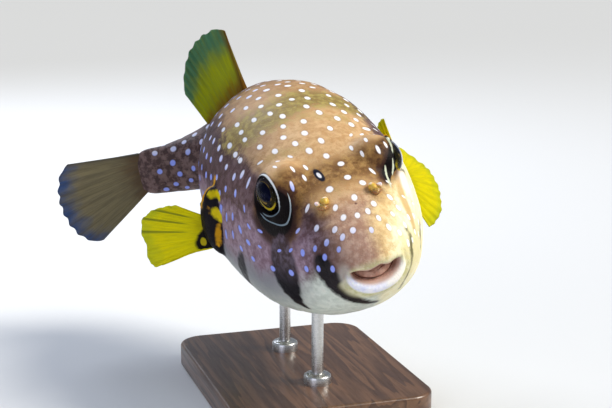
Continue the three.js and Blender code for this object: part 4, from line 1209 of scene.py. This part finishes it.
def fin_tree():
    """Thickens a fin's middle sheet into a closed web and lays forked rays along it."""
    tree = bpy.data.node_groups.new("Fin web and rays", "GeometryNodeTree")
    for label, kind in (("Sheet", "Geometry"), ("Rays", "Int"), ("Fork", "Float"), ("Foot radius", "Float"),
                        ("Tip radius", "Float"), ("Paint", "Material")):
        tree.interface.new_socket(label, in_out="INPUT", socket_type="NodeSocket" + kind)
    tree.interface.new_socket("Fin", in_out="OUTPUT", socket_type="NodeSocketGeometry")
    given = tree.nodes.new("NodeGroupInput").outputs

    def add(kind, inputs=None, output=0, **settings):
        node = tree.nodes.new(kind)
        for key, value in settings.items():
            setattr(node, key, value)
        for key, value in (inputs or {}).items():
            socket = node.inputs[key]
            for one in value if isinstance(value, list) else [value]:
                if isinstance(one, bpy.types.NodeSocket):
                    tree.links.new(one, socket)
                else:
                    socket.default_value = one
        return node.outputs[output]

    def sums(operation, a, b=0.0, c=0.0):
        return add("ShaderNodeMath", {0: a, 1: b, 2: c}, operation=operation)

    # The web: the sheet moved half its thickness to each side, joined along its border.
    half = add("GeometryNodeInputNamedAttribute", {"Name": "half_thickness"}, data_type="FLOAT")
    normal = add("GeometryNodeInputNormal")
    sides_of_web = []
    for sign in (1.0, -1.0):
        by = sums("MULTIPLY", half, sign)
        move = add("ShaderNodeVectorMath", {0: normal, "Scale": by}, operation="SCALE")
        moved = add("GeometryNodeSetPosition", {"Geometry": given["Sheet"], "Offset": move})
        sides_of_web.append(moved if sign > 0 else add("GeometryNodeFlipFaces", {"Mesh": moved}))
    web = add("GeometryNodeJoinGeometry", {0: sides_of_web})
    web = add("GeometryNodeMergeByDistance", {"Geometry": web, "Distance": 0.000004})

    # The rays: straight lines in the fin's own (u, v) square, forked, then laid on the sheet.
    step = sums("DIVIDE", 1.0, given["Rays"])
    start = add("ShaderNodeCombineXYZ", {0: sums("MULTIPLY", step, 0.5)})
    stride = add("ShaderNodeCombineXYZ", {0: step})
    roots = add("GeometryNodeMeshLine", {"Count": given["Rays"], "Start Location": start, "Offset": stride})
    line = add("GeometryNodeCurvePrimitiveLine", {"Start": (0, 0.01, 0), "End": (0, 0.985, 0)})
    line = add("GeometryNodeResampleCurve", {"Curve": line, "Count": 30})
    flat = add("GeometryNodeInstanceOnPoints", {"Points": roots, "Instance": line})
    flat = add("GeometryNodeRealizeInstances", {0: flat})
    place = add("GeometryNodeInputPosition")
    out_share = add("ShaderNodeSeparateXYZ", {0: place}, output=1)
    past_fork = sums("MAXIMUM", sums("SUBTRACT", out_share, given["Fork"]), 0.0)
    spread = sums("MULTIPLY", sums("MULTIPLY", past_fork, step), 0.62)
    branches = []
    for sign in (1.0, -1.0):
        sideways = add("ShaderNodeCombineXYZ", {0: sums("MULTIPLY", spread, sign)})
        branches.append(add("GeometryNodeSetPosition", {"Geometry": flat, "Offset": sideways}))
    rays = add("GeometryNodeJoinGeometry", {0: branches})
    rays = add("GeometryNodeStoreNamedAttribute", {"Geometry": rays, "Name": "fin", "Value": place},
               data_type="FLOAT_VECTOR", domain="POINT")
    source = add("GeometryNodeInputNamedAttribute", {"Name": "fin"}, data_type="FLOAT_VECTOR")
    lookup = {"Mesh": given["Sheet"], "Value": place, "Source UV Map": source, "Sample UV": place}
    centre = add("GeometryNodeSampleUVSurface", lookup, data_type="FLOAT_VECTOR")
    rays = add("GeometryNodeSetPosition", {"Geometry": rays, "Position": centre})
    kept = add("ShaderNodeSeparateXYZ", {0: source}, output=1)
    radii = {"Value": kept, "To Min": given["Foot radius"], "To Max": given["Tip radius"]}
    thin = add("ShaderNodeMapRange", radii)
    round_profile = add("GeometryNodeCurvePrimitiveCircle", {"Resolution": 6, "Radius": 1.0})
    rods = add("GeometryNodeCurveToMesh", {"Curve": rays, "Profile Curve": round_profile, "Scale": thin,
                                           "Fill Caps": True})
    rods = add("GeometryNodeStoreNamedAttribute", {"Geometry": rods, "Name": "on_ray", "Value": 1.0},
               data_type="FLOAT", domain="POINT")
    whole = add("GeometryNodeJoinGeometry", {0: [web, rods]})
    whole = add("GeometryNodeSetShadeSmooth", {"Geometry": whole})
    whole = add("GeometryNodeRealizeInstances", {0: whole})
    whole = add("GeometryNodeSetMaterial", {"Geometry": whole, "Material": given["Paint"]})
    tree.links.new(whole, tree.nodes.new("NodeGroupOutput").inputs["Fin"])
    return tree


# Streaks that run out along a fin's rays, and a soft blotch, from the fin's own (u, v).
ray_streaks, place, results = shader_group("Ray streaks", "Fin", "Streak", "Blotch")
for result, scale, detail in (("Streak", (46, 2.6, 1), 3.0), ("Blotch", (7, 3.4, 1), 4.0)):
    stretched = ray_streaks.add("Mapping", {"Vector": place, "Scale": scale})
    ray_streaks.plug(results[result], ray_streaks.noise(stretched, 1.0, detail, 0.6))


def fin_paint(name, see_through, colours, leading_width=0.05, edge_from=0.72, black_foot=False):
    """A translucent fin colour that goes from root to edge, with rays of their own colours."""
    root, middle, edge, ray, leading = colours
    shader = Shader(name)
    place = shader.vector("fin")
    streaks = shader.add("Group", {"Fin": place}, node_tree=ray_streaks.tree).node
    streak, blotch = streaks.outputs["Streak"], streaks.outputs["Blotch"]
    along, out_share, _ = shader.split(place)
    ragged = shader.math("MULTIPLY_ADD", shader.math("SUBTRACT", blotch, 0.5), 0.45, out_share)
    first_rays = shader.rise(shader.math("MULTIPLY_ADD", streak, 0.06, along), leading_width, 0.02)
    colour = shader.layered(
        root,
        (shader.rise(ragged, 0.02, 0.38), middle),
        (shader.rise(ragged, edge_from, edge_from + 0.32), edge),
        (first_rays, leading),
        (shader.rise(streak, 0.42, 0.62, 0, 0.42), ray),
    )
    if black_foot:
        # The black of the pad runs on over the lower part of the root, round a yellow spot, and olive lines
        # of painted shade stand for creases in the upper half of the fin.
        # Painted shade: olive lines stand for the shaded creases of folds in the upper half.
        crease_shade = shader.math("COSINE", shader.math("MULTIPLY_ADD", along, 39.0, -5.8))
        crease_shade = shader.rise(crease_shade, 0.72, 1.0)
        for fade in (shader.rise(along, 0.05, 0.1), shader.rise(out_share, 0.25, 0.5),
                     shader.rise(along, 0.58, 0.5, 0, 0.75)):
            crease_shade = shader.times(crease_shade, fade)
        foot_reach = shader.rise(along, 0.15, 0.75, 0.06, 0.32)
        foot_reach = shader.times(foot_reach, shader.rise(along, 1.08, 0.86))
        foot_edge = shader.math("SUBTRACT", shader.math("MULTIPLY_ADD", blotch, 0.08, out_share), foot_reach)
        spot_u = shader.times(shader.math("SUBTRACT", along, 0.7), 9.5)
        spot_v = shader.times(shader.math("SUBTRACT", out_share, 0.15), 21.0)
        away = shader.math("ADD", shader.times(spot_u, spot_u), shader.times(spot_v, spot_v))
        colour = shader.layered(
            colour,
            (crease_shade, (0.2, 0.24, 0.02)),
            (shader.rise(foot_edge, 0.03, -0.03), (0.008, 0.006, 0.006)),
            (shader.rise(away, 1.1, 0.6), (0.62, 0.5, 0.01)),
        )
    colour = shader.mix(shader.times(shader.value("on_ray"), 0.45), colour, ray)
    shader.finish(Base_Color=colour, Roughness=0.5, Specular_IOR_Level=0.1,
                  Normal=shader.bump(streak, 0.0002))
    glow = shader.tree.nodes.new("ShaderNodeBsdfTranslucent")
    shader.plug(glow.inputs["Color"], colour)
    both = shader.tree.nodes.new("ShaderNodeMixShader")
    both.inputs[0].default_value = see_through
    shader.tree.links.new(shader.surface.outputs[0], both.inputs[1])
    shader.tree.links.new(glow.outputs[0], both.inputs[2])
    shader.tree.links.new(both.outputs[0], shader.tree.nodes["Material Output"].inputs["Surface"])
    return shader.material


# Colours at the root, in the middle, at the edge, of the rays and of the first rays.
YELLOWS = (0.6, 0.5, 0.002), (0.93, 0.84, 0.002), (0.66, 0.68, 0.02), (0.66, 0.62, 0.01), (0.75, 0.7, 0.01)
# The olive fins' blue-green edge is partly their own colour and partly painted light seen through the thin
# edge.
OLIVES = (0.3, 0.13, 0.006), (0.46, 0.5, 0.01), (0.11, 0.28, 0.15), (0.24, 0.3, 0.05), (0.2, 0.09, 0.008)
DUSKS = (0.17, 0.11, 0.06), (0.27, 0.23, 0.13), (0.06, 0.11, 0.26), (0.13, 0.11, 0.08), (0.1, 0.09, 0.07)
yellow = fin_paint("pectoral_yellow", 0.5, YELLOWS)
yellow_black = fin_paint("pectoral_yellow_black", 0.32, YELLOWS, black_foot=True)
olive_fin = fin_paint("dorsal_olive", 0.45, OLIVES, leading_width=0.13, edge_from=0.52)
dusky = fin_paint("tail_dusky", 0.35, DUSKS, leading_width=0.1)
fin_paints = {"pectoral_fin_right": yellow_black, "pectoral_fin_left": yellow, "dorsal_fin": olive_fin,
              "anal_fin": olive_fin, "tail_fin": dusky}
tree = fin_tree()
fin_sockets = {item.name: item.identifier for item in tree.interface.items_tree if item.in_out == "INPUT"}

for name, fin in FINS.items():
    u, v = np.meshgrid(np.linspace(0, 1, ALONG_FIN), np.linspace(0, 1, OUT_FIN), indexing="ij")
    sheet = fin_sheet(fin, u, v)
    across, outwards = np.gradient(sheet, axis=0), np.gradient(sheet, axis=1)
    normal = np.cross(across, outwards)
    normal /= np.linalg.norm(normal, axis=-1, keepdims=True)
    # The web dips between the rays, and broad folds run out to a wavy edge.
    dip = fin["folds"] * (v**1.3) * np.cos(2 * math.pi * fin["rays"] * u)
    wave = 2.2 * fin["folds"] * v**2 * np.sin(2 * math.pi * (1.9 * u + 0.15) + 1.2 * v)
    sheet = sheet + normal * (dip + wave)[..., None]
    thick = (fin["foot"] + (WEB_EDGE - fin["foot"]) * v**0.55) / 2
    border = (u == 0) | (u == 1) | (v == 1) | (v == 0)
    faces = net_faces(ALONG_FIN, OUT_FIN, closed=False)
    plain = make_piece(name + "_sheet", in_place(sheet.reshape(-1, 3)), faces, {
        "fin": np.stack([u, v, 0 * u], -1).reshape(-1, 3),
        "half_thickness": np.where(border, 0, thick).ravel() * MM,
    })
    grow = plain.modifiers.new("grow", "NODES")
    grow.node_group = tree
    sizes = {"Rays": fin["rays"], "Fork": 0.45, "Foot radius": 0.62 * MM, "Tip radius": 0.26 * MM,
             "Paint": fin_paints[name]}
    for key, value in sizes.items():
        grow[fin_sockets[key]] = value
    grown = plain.evaluated_get(bpy.context.evaluated_depsgraph_get())
    piece = bpy.data.objects.new(name.replace("_fin", "_fin_web"), bpy.data.meshes.new_from_object(grown))
    bpy.context.scene.collection.objects.link(piece)
    bpy.data.objects.remove(plain)
    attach(piece, "root")
    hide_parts(name)


# ---- The stand ----
# A flat walnut base with eased edges, and two brushed steel rods that rise from turned collars into sockets
# under the fish. The rods are a push fit, and the collars are screwed down from below.

BASE = {"width": 104, "length": 130, "thickness": 12, "corner": 14, "ease": 1.6}
# Each rod stands at a place along the base and reaches up to a height.
ROD = {"radius": 3, "front": (-30, 68), "rear": (26, 70)}
COLLAR_PROFILE = [(3.0, -0.01), (7.0, 0), (7.0, 0.01), (7.0, 3.4), (6.7, 4.3), (5.9, 4.9), (4.6, 5.0)]
COLLAR_PROFILE += [(4.3, 5.35), (3.02, 5.4)]

walnut = Shader("walnut")
wood_place = walnut.add("TexCoord", output="Object")
long_grain = walnut.add("Mapping", {"Vector": wood_place, "Scale": (150, 11, 150)})
warp = walnut.noise(long_grain, 0.35, 3.0, 0.5)
grain = walnut.noise(long_grain, 2.2, 6.0, 0.7)
figure = walnut.math("FRACT", walnut.times(warp, 9.0))
wood = walnut.layered(
    (0.075, 0.034, 0.016),
    (walnut.rise(figure, 0.1, 0.9), (0.16, 0.078, 0.038)),
    (walnut.rise(grain, 0.45, 0.7, 0, 0.65), (0.04, 0.017, 0.009)),
)
walnut.finish(Base_Color=wood, Roughness=walnut.rise(grain, 0.3, 0.7, 0.3, 0.46), Coat_Weight=0.35,
              Coat_Roughness=0.2, Normal=walnut.bump(grain, 0.00008))

steel = Shader("brushed_steel")
steel_place = steel.add("TexCoord", output="Object")
rings_of_brush = steel.add("Mapping", {"Vector": steel_place, "Scale": (160, 160, 6000)})
brushed = steel.noise(rings_of_brush, 1.0, 3.0, 0.6)
steel.finish(Base_Color=(0.62, 0.62, 0.61), Metallic=1.0, Normal=steel.bump(brushed, 0.00003),
             Roughness=steel.rise(brushed, 0.3, 0.7, 0.22, 0.38))


def turned(outline, turns, place):
    """A lathe-turned shape: an outline of (radius, height) pairs about an upright axis."""
    angles = np.arange(turns) * 2 * math.pi / turns
    outline = np.array(outline, float)
    radius, height = outline[:, 0, None], outline[:, 1, None]
    rings = [radius * np.cos(angles), radius * np.sin(angles), height + 0 * angles]
    return closed_net(np.stack(rings, -1) + np.array(place))


# The base is a stack of rounded rectangles from its foot to its top, each drawn in by its own inset.
corner_angles = np.radians(np.concatenate([np.linspace(q * 90 + 2, q * 90 + 88, 14) for q in range(4)]))
corner_x = np.sign(np.cos(corner_angles)) * (BASE["width"] / 2 - BASE["corner"])
corner_y = np.sign(np.sin(corner_angles)) * (BASE["length"] / 2 - BASE["corner"])
ease = np.radians(np.linspace(0, 90, 7))
ease_in, ease_up = BASE["ease"] * (1 - np.cos(ease)), BASE["ease"] * (1 - np.sin(ease))
inset = np.concatenate([[BASE["corner"] - 0.5, 0.9], 0.4 * (1 - np.array([0.3, 0.8, 1])), ease_in,
                        [BASE["ease"] + 1, BASE["corner"] - 0.5]])
level = np.concatenate([[0, 0], 0.8 * np.array([0.1, 0.5, 1]), BASE["thickness"] - ease_up,
                        [BASE["thickness"], BASE["thickness"]]])
radius = (BASE["corner"] - inset)[:, None]
base_rings = np.stack([corner_x + radius * np.cos(corner_angles), corner_y + radius * np.sin(corner_angles),
                       level[:, None] + 0 * corner_x], -1)
points, faces = closed_net(base_rings)
base = make_piece("display_base", points * MM, faces)
base.data.materials.append(walnut.material)
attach(base, "root")
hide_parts("stand_base")

for name in ("front", "rear"):
    place_y, top = ROD[name]
    foot = BASE["thickness"] - 0.5
    shank = BASE["thickness"] + 0.1 + np.linspace(0, 1, 12) * (top - BASE["thickness"] - 0.2)
    outline = [(0.3, foot), (ROD["radius"], foot), *((ROD["radius"], height) for height in shank)]
    outline += [(ROD["radius"] - 0.3, top), (0.3, top)]
    points, faces = turned(outline, 40, (0, place_y, 0))
    rod = make_piece(f"rod_{name}", points * MM, faces)
    points, faces = turned(COLLAR_PROFILE, 56, (0, place_y, BASE["thickness"]))
    collar = make_piece(f"collar_{name}", points * MM, faces)
    for piece, node in ((rod, f"stand_rod_{name}"), (collar, f"stand_collar_{name}")):
        piece.data.materials.append(steel.material)
        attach(piece, "root")
        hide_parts(node)


# ---- The studio ----
# A pale floor, a broad soft sun above on the fish's left, weak lamps on its right and behind it, and an even
# pale sky.
FLOOR = 8.0
floor_corners = [(-FLOOR, -FLOOR, 0), (FLOOR, -FLOOR, 0), (FLOOR, FLOOR, 0), (-FLOOR, FLOOR, 0)]
floor_mesh = bpy.data.meshes.new("floor")
floor_mesh.from_pydata(floor_corners, [], [(0, 1, 2, 3)])
floor = bpy.data.objects.new("floor", floor_mesh)
bpy.context.scene.collection.objects.link(floor)
floor_paint = Shader("floor_paint")
floor_paint.finish(Base_Color=(0.7, 0.71, 0.72), Roughness=0.85)
floor.data.materials.append(floor_paint.material)

world = bpy.data.worlds.new("studio")
world.use_nodes = True
world.node_tree.nodes["Background"].inputs["Color"].default_value = (0.78, 0.86, 1.0, 1)
world.node_tree.nodes["Background"].inputs["Strength"].default_value = 0.3
bpy.context.scene.world = world


def soft_lamp(name, place, size, watts, colour):
    """A square area lamp that faces the fish."""
    lamp = bpy.data.objects.new(name, bpy.data.lights.new(name, "AREA"))
    lamp.data.size = size
    lamp.data.energy = watts
    lamp.data.color = colour
    lamp.location = place
    lamp.rotation_euler = (Vector((0, 0, 0.1)) - lamp.location).to_track_quat("-Z", "Y").to_euler()
    bpy.context.scene.collection.objects.link(lamp)


soft_lamp("side_lamp", (-1.0, -0.9, 0.5), 0.9, 4.0, (0.8, 0.82, 1.0))
soft_lamp("back_lamp", (-0.3, 0.9, 0.9), 0.7, 9, (0.82, 0.88, 1.0))
key = bpy.data.objects.new("key_lamp", bpy.data.lights.new("key_lamp", "SUN"))
key.data.energy = 3.7
key.data.angle = math.radians(24)
key.data.color = (1.0, 0.96, 0.88)
key.rotation_euler = Vector((1.0, -0.5, 1.05)).to_track_quat("Z", "Y").to_euler()
bpy.context.scene.collection.objects.link(key)

camera = bpy.data.objects.new("camera", bpy.data.cameras.new("camera"))
camera.data.lens = 75.5
camera.data.sensor_width = 36
camera.location = (-0.1937, -0.6123, 0.2329)
look_at = Vector((-0.0016, -0.0162, 0.1011))
camera.rotation_euler = (look_at - camera.location).to_track_quat("-Z", "Y").to_euler()
camera.data.clip_start = 0.01
bpy.context.scene.collection.objects.link(camera)
bpy.context.scene.camera = camera
bpy.context.scene.view_settings.view_transform = "Standard"
